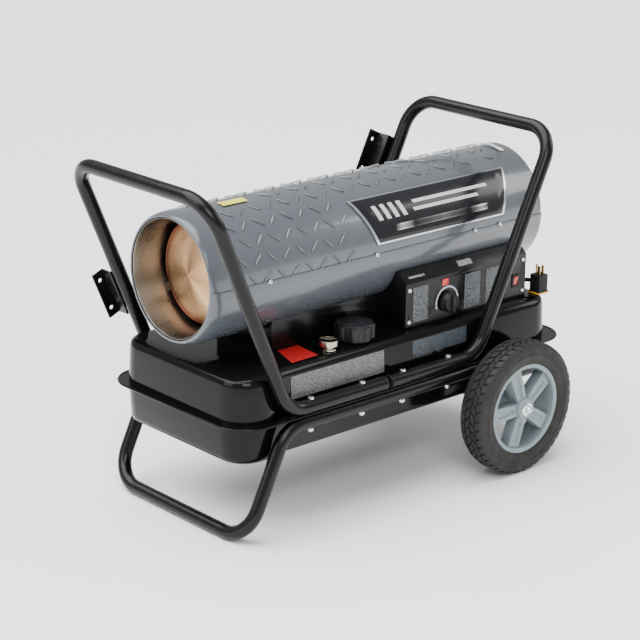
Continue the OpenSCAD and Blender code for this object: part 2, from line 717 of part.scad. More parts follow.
// Screw cap with eight lobes for the fingers.
module fuel_cap() color("#1d1e20") translate([filler_xy.x, filler_xy.y, 0]) difference() {
    union() {
        translate([0, 0, deck_z + 4]) cylinder(h = cap_h - 4, r = cap_r - 4);
        for (i = [0:7]) rotate([0, 0, i * 45]) translate([cap_r - 9, 0, deck_z + 5]) cylinder(h = cap_h - 8, r = 9);
        translate([0, 0, deck_z + cap_h - 1]) cylinder(h = 3, r = 18);
    }
    translate([0, 0, deck_z]) cylinder(h = neck_top_z + 2.5 - deck_z, r = neck_r + 0.5);
}

// Gauge: ring on the deck, stem and dial cup, with the float's bracket below.
float_pivot_z = 224;
gauge_top_z = deck_z + 20;
arm_len = 88;
module gauge_body() color("#d9d4c4") translate([gauge_xy.x, gauge_xy.y, 0]) difference() {
    union() {
        translate([0, 0, deck_z]) cylinder(h = 4, r = 15);
        translate([0, 0, deck_z - 6]) cylinder(h = 17, r = 10);
        translate([0, 0, gauge_top_z - 10]) cylinder(h = 10, r = gauge_r);
        box([-10, 3, float_pivot_z - 8], [-4, 5, deck_z - 3]);
        box([4, 3, float_pivot_z - 8], [10, 5, deck_z - 3]);
        box([-10, 3, float_pivot_z + 24], [10, 5, float_pivot_z + 34]);
    }
    translate([0, 0, gauge_top_z - 7]) cylinder(h = 10, r = gauge_r - 2.5);
    translate([0, 0, deck_z - 10]) cylinder(h = 40, r = 1.4);
    for (x = [-7, 7]) translate([x, 0, float_pivot_z]) rotate([-90, 0, 0]) cylinder(h = 12, r = 1.56);
}

module gauge_lens() color("#dfe8ea", 0.4) translate([gauge_xy.x, gauge_xy.y, gauge_top_z - 2])
    cylinder(h = 1.6, r = gauge_r - 2.5);

module gauge_needle() color("#c8261e") translate([gauge_xy.x, gauge_xy.y, 0]) {
    translate([0, 0, deck_z - 9]) cylinder(h = gauge_top_z - 4 - deck_z + 9, r = 1.3);
    translate([0, 0, gauge_top_z - 5.5]) cylinder(h = 1.6, r = 2.6);
    box([-4, -0.7, gauge_top_z - 5.2], [12, 0.7, gauge_top_z - 4.4]);
}

// Lever of the fuel float at its lowest position, reaching forward from its pivot.
float_angle = 34;
float_half = 18;
arm_y = 7.4;
module float_frame() {
    translate([gauge_xy.x + 7, gauge_xy.y, float_pivot_z]) rotate([0, 180 - float_angle, 0]) children();
}
module float_arm() color("#b9a564") float_frame() {
    rotate([-90, 0, 0]) cylinder(h = 9, r = 1.5);
    translate([0, arm_y, 0]) rotate([0, 90, 0]) cylinder(h = arm_len, r = 1.6);
    translate([0, arm_y - 1.8, 0]) rotate([-90, 0, 0]) cylinder(h = 3.6, r = 4);
}
module float() color("#2c2c2c") float_frame() difference() {
    translate([arm_len - float_half, arm_y, 0]) rotate([0, 90, 0]) cylinder(h = 2 * float_half, r = 13);
    translate([arm_len - float_half - 1, arm_y, 0]) rotate([0, 90, 0]) cylinder(h = float_half + 1, r = 1.6);
}

// Fuel pickup: fitting on the deck, tube, and strainer near the tank's floor.
module pickup_filter() color("#b59a4a") {
    translate([0, 0, deck_z - 2]) cylinder(h = 2, r = 4);
    translate([0, 0, deck_z]) cylinder(h = 10, r = 8, $fn = 6);
    translate([0, 0, tank_floor_z + 24]) cylinder(h = deck_z - tank_floor_z - 24, r = 3);
    translate([0, 0, tank_floor_z + 5]) cylinder(h = 20, r = 9);
}

// ---------- frame ----------

module handle(path) color(steel_black) difference() {
    bent_tube(mirrored_path(path), bend_r, tube_r, tube_in);
    bolt_holes();
}
module front_handle() {
    handle(front_path);
}
module rear_handle() {
    handle(rear_path);
}

module wheel_stand() color(steel_black) difference() {
    bent_tube(mirrored_path([stand_end, [stand_rear_x, 0, stand_run_z], [stand_bend_x, 0, stand_run_z],
        [stand_foot_x, 0, tube_r]]), bend_r, tube_r, tube_in);
    bolt_holes();
    y_rod(-tube_y - 20, tube_y + 20, axle_r + 0.05, axle_x, wheel_r);
}

module tube_plug(p, d) {
    along(p, d) {
        translate([0, 0, -13]) cylinder(h = 13.5, r = tube_in - 0.2);
        cylinder(h = 3, r = tube_r);
    }
}
module tube_plugs() color("#101010") for (s = [-1, 1]) {
    tube_plug(at_y(front_path[0], s * tube_y), [1, 0, 0]);
    tube_plug(at_y(rear_path[0], s * tube_y), [-1, 0, 0]);
    tube_plug(at_y(stand_end, s * tube_y), stand_end - [stand_rear_x, 0, stand_run_z]);
}

// Hooks for winding up the lead: a Z bracket on each handle's right leg.
hook_y0 = tube_y + tube_r;
hook_t = 2.2;
hook_len = 94;
// each row: height of its middle, inner and outer edge of its outer leaf, handle path
front_hook = [363, 9, 34, front_path];
rear_hook = [500, 18, 48, rear_path];
// Local X runs up the leg, local Y forward from it, local Z to the right.
module hook_frame(h) {
    foot = h[3][1];
    top = h[3][2];
    u = unit(top - foot);
    p = foot + u * (h[0] - foot.z) / u.z;
    n = [-u.z, 0, u.x];
    multmatrix([[u.x, n.x, 0, p.x], [0, 0, 1, 0], [u.z, n.z, 0, p.z], [0, 0, 0, 1]]) children();
}
module cord_hook(h) color(steel_black) hook_frame(h) difference() {
    union() {
        box([-hook_len / 2, -10, hook_y0], [hook_len / 2, h[1] + hook_t, hook_y0 + hook_t]);
        box([-hook_len / 2, h[1], hook_y0], [hook_len / 2, h[1] + hook_t, hook_y0 + 27]);
        box([-hook_len / 2, h[1], hook_y0 + 27 - hook_t], [hook_len / 2, h[2], hook_y0 + 27]);
    }
    for (t = [-30, 30]) {
        translate([t, 0, hook_y0 - 1]) cylinder(h = 6, r = 2.2);
        translate([t, (h[1] + h[2]) / 2 + 1, hook_y0 + 20]) cylinder(h = 12, r = 4);
    }
}
module cord_hook_front() {
    cord_hook(front_hook);
}
module cord_hook_rear() {
    cord_hook(rear_hook);
}

// ---------- wheels ----------

module axle() color("#9a9da1") y_rod(-hub_out_y - 2, hub_out_y + 2, axle_r, axle_x, wheel_r);

module at_wheel(s) {
    translate([axle_x, 0, wheel_r]) rotate([-90 * s, 0, 0]) children();
}

module axle_washers() color("#8b8e92") for (s = [-1, 1]) at_wheel(s) translate([0, 0, hook_y0 + 0.2]) difference() {
    cylinder(h = 2.2, r = 15);
    translate([0, 0, -1]) cylinder(h = 5, r = axle_r);
}

module axle_caps() color(bright) for (s = [-1, 1]) at_wheel(s) difference() {
    union() {
        translate([0, 0, hub_out_y + 0.4]) cylinder(h = 3, r = 15);
        translate([0, 0, hub_out_y + 3.4]) cylinder(h = 3, r1 = 12.5, r2 = 8);
    }
    translate([0, 0, hub_out_y - 1]) cylinder(h = 3, r = axle_r);
}

wheel_mid_y = (wheel_in_y + wheel_out_y) / 2;
tyre_half = (wheel_out_y - wheel_in_y) / 2;

module rim() color("#95a2a8") difference() {
    union() {
        rotate_extrude() polygon([[78, wheel_mid_y - 24], [rim_r, wheel_mid_y - 24], [rim_r, wheel_mid_y + 24],
            [78, wheel_mid_y + 24]]);
        translate([0, 0, hub_in_y]) cylinder(h = hub_out_y - hub_in_y, r = 21);
        for (i = [0:4]) rotate([0, 0, i * 72 + 18]) translate([0, 0, wheel_mid_y - 4]) linear_extrude(24)
            polygon([[12, -12], [80, -18], [80, 18], [12, 12]]);
    }
    translate([0, 0, hub_in_y - 1]) cylinder(h = 80, r = axle_r + 0.05);
}

module tyre() color("#232323") rotate_extrude() {
    w = tyre_half;
    translate([0, wheel_mid_y]) polygon([
        [rim_r, -24], [90, -27], [104, -w], [118, -w + 1], [124, -w + 5], [wheel_r - 0.6, -w + 11],
        [wheel_r - 0.1, -12], [wheel_r - 3, -11], [wheel_r - 3, -8], [wheel_r, -7],
        [wheel_r, 7], [wheel_r - 3, 8], [wheel_r - 3, 11], [wheel_r - 0.1, 12],
        [wheel_r - 0.6, w - 11], [124, w - 5], [118, w - 1], [104, w], [90, 27], [rim_r, 24]
    ]);
}

// How far the rims stand turned on the axle at rest.
rim_rest_turn = 19;
module rim_left() {
    at_wheel(-1) rotate([0, 0, rim_rest_turn]) rim();
}
module rim_right() {
    at_wheel(1) rotate([0, 0, rim_rest_turn]) rim();
}
module tyre_left() {
    at_wheel(-1) tyre();
}
module tyre_right() {
    at_wheel(1) tyre();
}

upper_shell();
lower_shell();
shell_screws();
badge_plate();
combustion_chamber();
flame_target();
burner_head();
nozzle();
igniter();
photocell();
motor();
motor_bracket();
motor_shaft();
fan();
pump_body();
pump_rotor();
pump_cover();
air_filter();
fan_guard();
air_line();
fuel_line();
base_housing();
control_box();
panel_screws();
knob();
thermostat();
display();
switch_body();
rocker();
circuit_board();
transformer();
cord_gland();
power_cord();
plug();
plug_prongs();
tank_top();
tank_bottom();
frame_bolts();
filler_neck();
cap_gasket();
fuel_cap();
gauge_body();
gauge_lens();
gauge_needle();
float_arm();
float();
pickup_filter();
front_handle();
rear_handle();
wheel_stand();
tube_plugs();
cord_hook_front();
cord_hook_rear();
axle();
axle_washers();
axle_caps();
rim_left();
rim_right();
tyre_left();
tyre_right();
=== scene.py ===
"""Forced-air kerosene heater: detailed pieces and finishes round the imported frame."""

import json

import bpy
import bmesh
from math import cos, pi, radians, sin, tan
from mathutils import Matrix, Vector

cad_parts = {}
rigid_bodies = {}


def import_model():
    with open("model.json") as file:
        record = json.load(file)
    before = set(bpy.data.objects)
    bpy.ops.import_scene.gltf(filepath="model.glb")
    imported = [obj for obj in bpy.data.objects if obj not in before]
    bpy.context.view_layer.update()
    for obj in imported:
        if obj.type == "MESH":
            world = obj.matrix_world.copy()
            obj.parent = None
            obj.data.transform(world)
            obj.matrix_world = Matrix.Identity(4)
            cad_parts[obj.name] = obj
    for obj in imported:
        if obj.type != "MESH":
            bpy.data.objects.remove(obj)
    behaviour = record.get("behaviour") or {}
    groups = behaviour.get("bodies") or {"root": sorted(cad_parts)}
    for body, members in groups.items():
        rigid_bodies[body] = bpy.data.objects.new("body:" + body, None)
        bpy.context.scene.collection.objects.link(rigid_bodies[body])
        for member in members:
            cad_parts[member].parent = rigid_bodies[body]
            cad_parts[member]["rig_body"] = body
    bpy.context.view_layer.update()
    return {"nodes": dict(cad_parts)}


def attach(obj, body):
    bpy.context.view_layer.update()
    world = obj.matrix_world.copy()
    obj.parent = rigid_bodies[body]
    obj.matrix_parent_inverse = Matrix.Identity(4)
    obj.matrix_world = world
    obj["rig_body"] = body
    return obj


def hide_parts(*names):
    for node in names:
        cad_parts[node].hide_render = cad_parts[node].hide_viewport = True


bl_info = {
    "name": "Kerosene heater",
    "version": (1, 0, 0),
    "blender": (4, 5, 0),
    "location": "View3D > Sidebar > Heater",
    "description": "Models the visible pieces of a wheeled forced-air heater",
    "category": "Object",
}

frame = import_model()
NODES = frame["nodes"]
BASE = "heater"

MM = 0.001
BARREL_Z = 0.440
BARREL_R = 0.118
MOUTH_X = -0.374
REAR_X = 0.435
LIP_R = 0.109
CHAMBER_R = 0.104
CHAMBER_BACK = -0.060
TARGET_X = -0.308
TARGET_R = 0.092
SEAM_Z = 0.2117
DECK_Z = 0.292
TUBE_R = 0.0127
TUBE_Y = 0.184
BEND_R = 0.058
AXLE_X = 0.253
WHEEL_R = 0.127
WHEEL_IN = 0.206
WHEEL_OUT = 0.264
RIM_R = 0.086
BOX_Y = -0.138
GAUGE = (-0.125, -0.129)
KNOB = (0.160, 0.325)
SHEET = 0.002
LOWER_R = BARREL_R - 0.0021
BADGE_R = BARREL_R + 0.0014
BAR_TOP = (0.048, 0.288)
RELIEF_AT = (-0.050, 0.306)
SEG = 64
MERGE_GAP = 0.00002


# ---------- selecting and finishing ----------

def deselect():
    if bpy.context.mode != "OBJECT":
        bpy.ops.object.mode_set(mode="OBJECT")
    bpy.ops.object.select_all(action="DESELECT")


def activate(obj):
    deselect()
    obj.select_set(True)
    bpy.context.view_layer.objects.active = obj


def edit(obj):
    activate(obj)
    bpy.ops.object.mode_set(mode="EDIT")
    bpy.ops.mesh.select_mode(type="VERT")
    bpy.ops.mesh.select_all(action="SELECT")


def select_faces(obj, test):
    """Selects the faces whose centre and normal pass test, in edit mode."""
    bpy.ops.mesh.select_mode(type="FACE")
    bpy.ops.mesh.select_all(action="DESELECT")
    mesh = bmesh.from_edit_mesh(obj.data)
    for f in mesh.faces:
        if test(f.calc_center_median(), f.normal):
            f.select_set(True)
    bmesh.update_edit_mesh(obj.data)


def modify(obj, kind, **values):
    activate(obj)
    m = obj.modifiers.new(kind.title(), kind)
    for key, value in values.items():
        setattr(m, key, value)
    bpy.ops.object.modifier_apply(modifier=m.name)


def settle(obj):
    activate(obj)
    bpy.ops.object.transform_apply(location=True, rotation=True, scale=True)


def tidy_mesh(obj, distance=MERGE_GAP):
    edit(obj)
    bpy.ops.mesh.remove_doubles(threshold=distance)
    bpy.ops.mesh.normals_make_consistent(inside=False)
    bpy.ops.object.mode_set(mode="OBJECT")


def smooth(obj, angle=35):
    activate(obj)
    bpy.ops.object.shade_smooth_by_angle(angle=radians(angle))


def soften(obj, width, segments=2, angle=35):
    if width:
        modify(obj, "BEVEL", width=width, segments=segments, limit_method="ANGLE", angle_limit=radians(angle),
               harden_normals=False)
    smooth(obj, angle)


def finish(obj, material, nodes=(), body=BASE):
    """Gives a piece its finish and its body, and hides the CAD nodes that it stands for."""
    settle(obj)
    obj.data.materials.clear()
    obj.data.materials.append(material)
    if nodes:
        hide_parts(*([nodes] if isinstance(nodes, str) else nodes))
    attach(obj, body)
    return obj


def named(obj, name):
    obj.name = name
    obj.data.name = name
    return obj


def join(name, objs):
    deselect()
    for o in objs:
        o.select_set(True)
    bpy.context.view_layer.objects.active = objs[0]
    if len(objs) > 1:
        bpy.ops.object.join()
    return named(bpy.context.object, name)


def twin(obj):
    """A copy of obj with its own mesh."""
    activate(obj)
    bpy.ops.object.duplicate(linked=False)
    return bpy.context.object


def place(obj, matrix):
    obj.matrix_world = matrix @ obj.matrix_world
    settle(obj)
    return obj


def ring_of(piece, matrices, name):
    """Copies of piece at each of the matrices, joined as one piece."""
    copies = []
    for m in matrices:
        c = twin(piece)
        c.data.transform(m)
        copies.append(c)
    bpy.data.objects.remove(piece)
    return join(name, copies)


# ---------- primitives shaped by hand ----------

def outline(name, points):
    """An open line of edges through the points, drawn by extruding one vertex."""
    deselect()
    bpy.ops.mesh.primitive_plane_add(size=0.001, location=(0, 0, 0))
    obj = named(bpy.context.object, name)
    edit(obj)
    bpy.ops.mesh.merge(type="CENTER")
    bpy.ops.transform.translate(value=points[0])
    for a, b in zip(points, points[1:]):
        bpy.ops.mesh.extrude_region_move(TRANSFORM_OT_translate={"value": tuple(Vector(b) - Vector(a))})
    bpy.ops.object.mode_set(mode="OBJECT")
    return obj


def lathe(name, profile, axis="X", centre=(0, 0, BARREL_Z), start=0, sweep=360, steps=SEG):
    """Spins a closed or open profile of (radius, along) about an axis through centre; start 0 is down."""
    a = radians(start)
    if axis == "X":
        out, along, spin_axis = Vector((0, sin(a), -cos(a))), Vector((1, 0, 0)), (1, 0, 0)
    else:
        out, along, spin_axis = Vector((1, 0, 0)), Vector((0, 0, 1)), (0, 0, 1)
    c = Vector(centre)
    obj = outline(name, [tuple(c + out * r + along * t) for r, t in profile])
    edit(obj)
    bpy.ops.mesh.spin(steps=steps, angle=radians(sweep), center=centre, axis=spin_axis)
    bpy.ops.object.mode_set(mode="OBJECT")
    tidy_mesh(obj)
    return obj


def cylinder(name, r, depth, at, axis="Z", vertices=32):
    deselect()
    turn = {"X": (0, radians(90), 0), "Z": (0, 0, 0)}[axis]
    bpy.ops.mesh.primitive_cylinder_add(vertices=vertices, radius=r, depth=depth, location=at, rotation=turn)
    obj = named(bpy.context.object, name)
    settle(obj)
    return obj


def block(name, lo, hi):
    deselect()
    lo, hi = Vector(lo), Vector(hi)
    bpy.ops.mesh.primitive_cube_add(size=1, location=(lo + hi) / 2, scale=hi - lo)
    obj = named(bpy.context.object, name)
    settle(obj)
    return obj


def refined(node, name, material, bevel=0.0005, angle=30, segments=2):
    """A merged copy of a CAD node with its quads restored and its edges rounded."""
    activate(NODES[node])
    bpy.ops.object.duplicate(linked=False)
    obj = named(bpy.context.object, name)
    for key in list(obj.keys()):
        del obj[key]
    obj.parent = None
    obj.matrix_world = Matrix.Identity(4)
    edit(obj)
    bpy.ops.mesh.customdata_custom_splitnormals_clear()
    bpy.ops.mesh.remove_doubles(threshold=MERGE_GAP)
    bpy.ops.mesh.dissolve_limited(angle_limit=radians(1))
    bpy.ops.object.mode_set(mode="OBJECT")
    soften(obj, bevel, segments, angle)
    return finish(obj, material, node, NODES[node]["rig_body"])


def tube_path(corners, bend, arc_steps=12):
    """Points of a bent tube's centre line through its corners."""
    pts = [Vector(corners[0])]
    for a, b, c in zip(corners, corners[1:], corners[2:]):
        a, b, c = Vector(a), Vector(b), Vector(c)
        u, v = (b - a).normalized(), (c - b).normalized()
        turn = u.angle(v)
        n = u.cross(v).normalized()
        start = b - u * bend * tan(turn / 2)
        centre = start + n.cross(u) * bend
        for i in range(arc_steps + 1):
            pts.append(centre + Matrix.Rotation(turn * i / arc_steps, 3, n) @ (start - centre))
    pts.append(Vector(corners[-1]))
    return pts


def tube(name, points, radius, sides=8, closed=False):
    """A round tube along points, made as a curve and turned into a mesh."""
    curve = bpy.data.curves.new(name, "CURVE")
    curve.dimensions = "3D"
    curve.bevel_depth = radius
    curve.bevel_resolution = sides
    curve.use_fill_caps = not closed
    spline = curve.splines.new("POLY")
    spline.points.add(len(points) - 1)
    for p, q in zip(spline.points, points):
        p.co = (*q, 1)
    spline.use_cyclic_u = closed
    obj = bpy.data.objects.new(name, curve)
    bpy.context.scene.collection.objects.link(obj)
    activate(obj)
    bpy.ops.object.convert(target="MESH")
    obj = named(bpy.context.object, name)
    tidy_mesh(obj)
    smooth(obj, 50)
    return obj


def turned(angle):
    """Turns a piece about the barrel's axis; angle 0 leaves it below the axis."""
    c = Matrix.Translation((0, 0, BARREL_Z))
    return c @ Matrix.Rotation(radians(angle), 4, "X") @ c.inverted()


# ---------- materials ----------

class Shader:
    """A node material built up step by step from the Principled shader."""

    def __init__(self, name, colour, rough, metal=0.0, **sockets):
        self.mat = bpy.data.materials.new(name)
        self.mat.use_nodes = True
        self.tree = self.mat.node_tree
        self.bsdf = self.tree.nodes["Principled BSDF"]
        self.colour = (*colour[:3], 1)
        self.put("Base Color", self.colour)
        self.put("Roughness", rough)
        self.put("Metallic", metal)
        for key, value in sockets.items():
            self.put(key.replace("_", " "), value)
        self.where = self.node("ShaderNodeTexCoord").outputs["Object"]
        self.height = None

    def node(self, kind, **values):
        n = self.tree.nodes.new(kind)
        for key, value in values.items():
            setattr(n, key, value)
        return n

    def link(self, a, b):
        self.tree.links.new(a, b)

    def put(self, socket, value):
        self.bsdf.inputs[socket].default_value = value

    def mapped(self, scale=(1, 1, 1), turn=(0, 0, 0), shift=(0, 0, 0)):
        m = self.node("ShaderNodeMapping")
        m.inputs["Scale"].default_value = scale
        m.inputs["Rotation"].default_value = turn
        m.inputs["Location"].default_value = shift
        self.link(self.where, m.inputs["Vector"])
        return m.outputs["Vector"]

    def noise(self, scale, detail=3, where=None):
        n = self.node("ShaderNodeTexNoise")
        n.inputs["Scale"].default_value = scale
        n.inputs["Detail"].default_value = detail
        self.link(where or self.where, n.inputs["Vector"])
        return n.outputs["Fac"]

    def ramp(self, fac, stops):
        r = self.node("ShaderNodeValToRGB")
        while len(r.color_ramp.elements) < len(stops):
            r.color_ramp.elements.new(0.5)
        for e, (at, c) in zip(r.color_ramp.elements, stops):
            e.position = at
            e.color = (*c[:3], 1) if hasattr(c, "__len__") else (c, c, c, 1)
        self.link(fac, r.inputs["Fac"])
        return r.outputs["Color"]

    def mix(self, fac, a, b, kind="MIX"):
        m = self.node("ShaderNodeMix", data_type="RGBA", blend_type=kind)
        for socket, value in ((m.inputs[0], fac), (m.inputs[6], a), (m.inputs[7], b)):
            if isinstance(value, bpy.types.NodeSocket):
                self.link(value, socket)
            else:
                socket.default_value = value if isinstance(value, float) else (*value[:3], 1)
        return m.outputs[2]

    def paint(self, colour):
        self.link(colour, self.bsdf.inputs["Base Color"])
        return self

    def vary(self, scale, amount):
        """Colour drifts by amount over blotches of that scale."""
        c = Vector(self.colour[:3])
        fac = self.noise(scale, 4)
        return self.paint(self.ramp(fac, [(0.3, tuple(c * (1 - amount))), (0.7, tuple(c * (1 + amount)))]))

    def spread(self, value, start, end, low=0.0, high=1.0):
        """Stretches the range from start to end of value over low to high."""
        m = self.node("ShaderNodeMapRange")
        for socket, number in zip(("From Min", "From Max", "To Min", "To Max"), (start, end, low, high)):
            m.inputs[socket].default_value = number
        self.link(value, m.inputs["Value"])
        return m.outputs["Result"]

    def along_barrel(self, start, end):
        """Runs from 0 to 1 between two X positions."""
        parts = self.node("ShaderNodeSeparateXYZ")
        self.link(self.where, parts.inputs[0])
        return self.spread(parts.outputs["X"], start, end)

    def roughen(self, scale, low, high):
        """Roughness drifts between low and high over blotches of that scale."""
        self.link(self.spread(self.noise(scale, 5), 0.3, 0.7, low, high), self.bsdf.inputs["Roughness"])
        return self

    def bump(self, fac, strength, distance):
        """Adds one layer of relief over the ones already there."""
        b = self.node("ShaderNodeBump")
        b.inputs["Strength"].default_value = strength
        b.inputs["Distance"].default_value = distance
        self.link(fac, b.inputs["Height"])
        if self.height is not None:
            self.link(self.height, b.inputs["Normal"])
        self.height = b.outputs["Normal"]
        self.link(self.height, self.bsdf.inputs["Normal"])
        return self


# Plain finishes: name, colour, roughness, metal, (blotch scale, colour drift), (scale, low, high roughness),
# (grain scale, detail, strength, depth), other shader values.
FINISHES = {
    "shell": ("shell_enamel", (0.074, 0.084, 0.097), 0.24, 0, (9, 0.05), (30, 0.21, 0.30), (420, 2, 0.06, 0.0004),
              {"Coat_Weight": 0.5, "Coat_Roughness": 0.05}),
    "black": ("black_powder_coat", (0.0035, 0.0035, 0.004), 0.24, 0, (14, 0.15), (40, 0.20, 0.29),
              (520, 2, 0.10, 0.0004), {"Specular_IOR_Level": 0.24}),
    "tank": ("black_tank_enamel", (0.003, 0.003, 0.0033), 0.10, 0, (6, 0.15), (12, 0.07, 0.13),
             (260, 2, 0.05, 0.0004), {"Specular_IOR_Level": 0.17}),
    "zinc": ("zinc_plate", (0.58, 0.59, 0.60), 0.28, 1, (160, 0.12), (220, 0.2, 0.38), (900, 2, 0.08, 0.0002), {}),
    "chrome": ("chrome_plate", (0.80, 0.80, 0.81), 0.08, 1, None, (120, 0.05, 0.14), (500, 1, 0.03, 0.0002), {}),
    "gauge": ("gauge_plate", (0.42, 0.37, 0.28), 0.20, 1, (90, 0.06), (140, 0.10, 0.24), (600, 1, 0.04, 0.0002), {}),
    "cast": ("cast_alloy", (0.50, 0.51, 0.52), 0.42, 1, (60, 0.1), (90, 0.34, 0.55), (500, 4, 0.25, 0.0003), {}),
    "brass": ("satin_brass", (0.66, 0.50, 0.22), 0.3, 1, (80, 0.1), (150, 0.22, 0.4), (700, 2, 0.06, 0.0002), {}),
    "rim": ("rim_moulding", (0.190, 0.235, 0.255), 0.34, 0, (26, 0.06), (60, 0.28, 0.44), (800, 2, 0.08, 0.0002),
            {"Specular_IOR_Level": 0.5}),
    "lead": ("lead_rubber", (0.018, 0.018, 0.018), 0.45, 0, (60, 0.2), (100, 0.38, 0.55), (900, 2, 0.1, 0.0002), {}),
    "red": ("red_moulding", (0.55, 0.012, 0.010), 0.22, 0, (90, 0.08), (120, 0.16, 0.3), (700, 1, 0.04, 0.0002),
            {"Coat_Weight": 0.4}),
    "badge": ("badge_lacquer", (0.008, 0.0085, 0.0105), 0.16, 0, (20, 0.08), (9, 0.15, 0.18), (300, 1, 0.02, 0.0002),
              {"Specular_IOR_Level": 0.4}),
}


def plain(name, colour, rough, metal, drift, wear, grain, sockets):
    """A finish from one row of the table."""
    s = Shader(name, colour, rough, metal, **sockets)
    if drift:
        s.vary(*drift)
    s.roughen(*wear)
    scale, detail, strength, depth = grain
    return s.bump(s.noise(scale, detail), strength, depth).mat


def chamber_steel():
    """Drawn stainless, browned by heat towards the fire; the darkening to near black deeper in the tube is painted
    shade.
    """
    s = Shader("chamber_stainless", (0.40, 0.38, 0.34), 0.30, 1.0)
    # Beige at the mouth, heat brown further in, then near-black blue-grey by the target: the brown is heat tint, and
    # the dark deep end is painted shade of the tube's inside.
    heat = s.ramp(s.along_barrel(MOUTH_X, TARGET_X + 0.06), [
        (0.0, (0.30, 0.29, 0.265)), (0.35, (0.36, 0.31, 0.25)), (0.7, (0.17, 0.15, 0.13)), (1.0, (0.07, 0.078, 0.09))])
    cloud = s.ramp(s.noise(5, 2), [(0.3, (0.86, 0.84, 0.82)), (0.7, (1.06, 1.02, 0.98))])
    s.paint(s.mix(1.0, heat, cloud, "MULTIPLY"))
    lines = s.noise(1.0, 3, s.mapped((900, 30, 30)))
    s.roughen(26, 0.22, 0.40)
    return s.bump(lines, 0.12, 0.0003).mat


TURNING_MARKS = 5200


def target_copper():
    """Spun steel cone with a copper heat tint, painted shade at its edge, painted reflection sectors and fine turning
    marks.
    """
    s = Shader("target_heat_tint", (0.60, 0.40, 0.24), 0.26, 1.0)
    centre = s.mapped((1, 1, 1), shift=(0, 0, -BARREL_Z))
    flat = s.node("ShaderNodeVectorMath", operation="MULTIPLY")
    flat.inputs[1].default_value = (0, 1, 1)
    s.link(centre, flat.inputs[0])
    length = s.node("ShaderNodeVectorMath", operation="LENGTH")
    s.link(flat.outputs[0], length.inputs[0])
    # From the middle out the tint is heat tint; the dark red band over the outer part of the radius is painted shade of
    # the gap between the cone's edge and the tube.
    tint = s.ramp(s.spread(length.outputs["Value"], 0, TARGET_R), [
        (0.0, (0.36, 0.20, 0.10)), (0.35, (0.50, 0.32, 0.18)), (0.8, (0.55, 0.37, 0.23)), (0.93, (0.28, 0.13, 0.07)),
        (1.0, (0.13, 0.03, 0.02))])
    # The radial sweep paints bright and dark sectors round the cone's axis, a painted reflection of spun metal that is
    # multiplied into the tint.
    sweep = s.node("ShaderNodeTexGradient", gradient_type="RADIAL")
    s.link(s.mapped(turn=(0, radians(90), 0), shift=(-BARREL_Z, 0, 0)), sweep.inputs[0])
    painted_glint = s.ramp(sweep.outputs["Fac"], [
        (0.0, (0.55, 0.50, 0.46)), (0.10, (1.15, 1.10, 1.02)), (0.20, (0.72, 0.66, 0.60)), (0.36, (1.05, 1.0, 0.92)),
        (0.50, (0.60, 0.54, 0.50)), (0.62, (1.2, 1.12, 1.05)), (0.74, (0.75, 0.72, 0.66)), (0.88, (1.0, 0.95, 0.90)),
        (1.0, (0.55, 0.50, 0.46))])
    s.paint(s.mix(1.0, tint, painted_glint, "MULTIPLY"))
    wave = s.node("ShaderNodeMath", operation="SINE")
    times = s.node("ShaderNodeMath", operation="MULTIPLY")
    times.inputs[1].default_value = TURNING_MARKS
    s.link(length.outputs["Value"], times.inputs[0])
    s.link(times.outputs[0], wave.inputs[0])
    s.roughen(30, 0.18, 0.32)
    s.put("Anisotropic", 0.6)
    return s.bump(wave.outputs[0], 0.10, 0.0002).mat


def black_plastic(name="black_moulding", colour=(0.007, 0.007, 0.008), rough=0.42):
    s = Shader(name, colour, rough, Specular_IOR_Level=0.26)
    s.vary(50, 0.2).roughen(120, rough - 0.06, rough + 0.1)
    return s.bump(s.noise(1400, 2), 0.14, 0.0002).mat


def tyre_rubber():
    s = Shader("tyre_rubber", (0.0125, 0.012, 0.0105), 0.66, Specular_IOR_Level=0.35)
    s.vary(30, 0.25).roughen(70, 0.52, 0.75)
    s.bump(s.noise(900, 4), 0.3, 0.0003)
    return s.bump(s.noise(60, 3), 0.15, 0.0005).mat


def badge_bar():
    s = Shader("badge_bar_finish", (0.05, 0.05, 0.055), 0.25, 1.0)
    s.paint(s.ramp(s.along_barrel(*BAR_TOP), [(0.0, 0.02), (0.08, 0.75), (0.2, 0.05), (0.5, 0.22), (0.8, 0.05),
                                              (0.92, 0.75), (1.0, 0.02)]))
    s.roughen(60, 0.2, 0.3)
    return s.bump(s.noise(300, 1), 0.03, 0.0002).mat


def simple(name, colour, rough, metal=0.0, vary=0.12, scale=60, grain=600, strength=0.12, **sockets):
    s = Shader(name, colour, rough, metal, **sockets)
    s.vary(scale, vary).roughen(scale * 2, max(rough - 0.08, 0.03), min(rough + 0.1, 1))
    return s.bump(s.noise(grain, 3), strength, 0.0003).mat


def clear_lens():
    s = Shader("lens_glass", (0.95, 0.97, 0.97), 0.04, Transmission_Weight=1.0, IOR=1.49)
    return s.bump(s.noise(60, 1), 0.02, 0.0002).mat


def striped(name, ground, ink, scale, turn=(0, 0, 0), amount=0.5, rough=0.45, breaks=90, metal=0.0):
    """Printed film with broken rows of marks that spell nothing."""
    s = Shader(name, ground, rough, metal)
    rows = s.node("ShaderNodeTexWave", wave_type="BANDS", bands_direction="Z")
    rows.inputs["Scale"].default_value = scale
    s.link(s.mapped(turn=turn), rows.inputs["Vector"])
    row = s.ramp(rows.outputs["Fac"], [(0.45, 0.0), (0.55, 1.0)])
    gap = s.ramp(s.noise(breaks, 1, s.mapped((2, 2, 5))), [(amount - 0.02, 0.0), (amount + 0.02, 1.0)])
    s.paint(s.mix(s.mix(1.0, row, gap, "MULTIPLY"), ground, ink))
    s.roughen(60, rough - 0.08, rough + 0.08)
    return s.bump(s.noise(300, 1), 0.04, 0.0002).mat


MATS = {}


def mat(key):
    """Makes each material once."""
    if key not in MATS:
        MATS[key] = plain(*FINISHES[key]) if key in FINISHES else MAKERS[key]()
    return MATS[key]


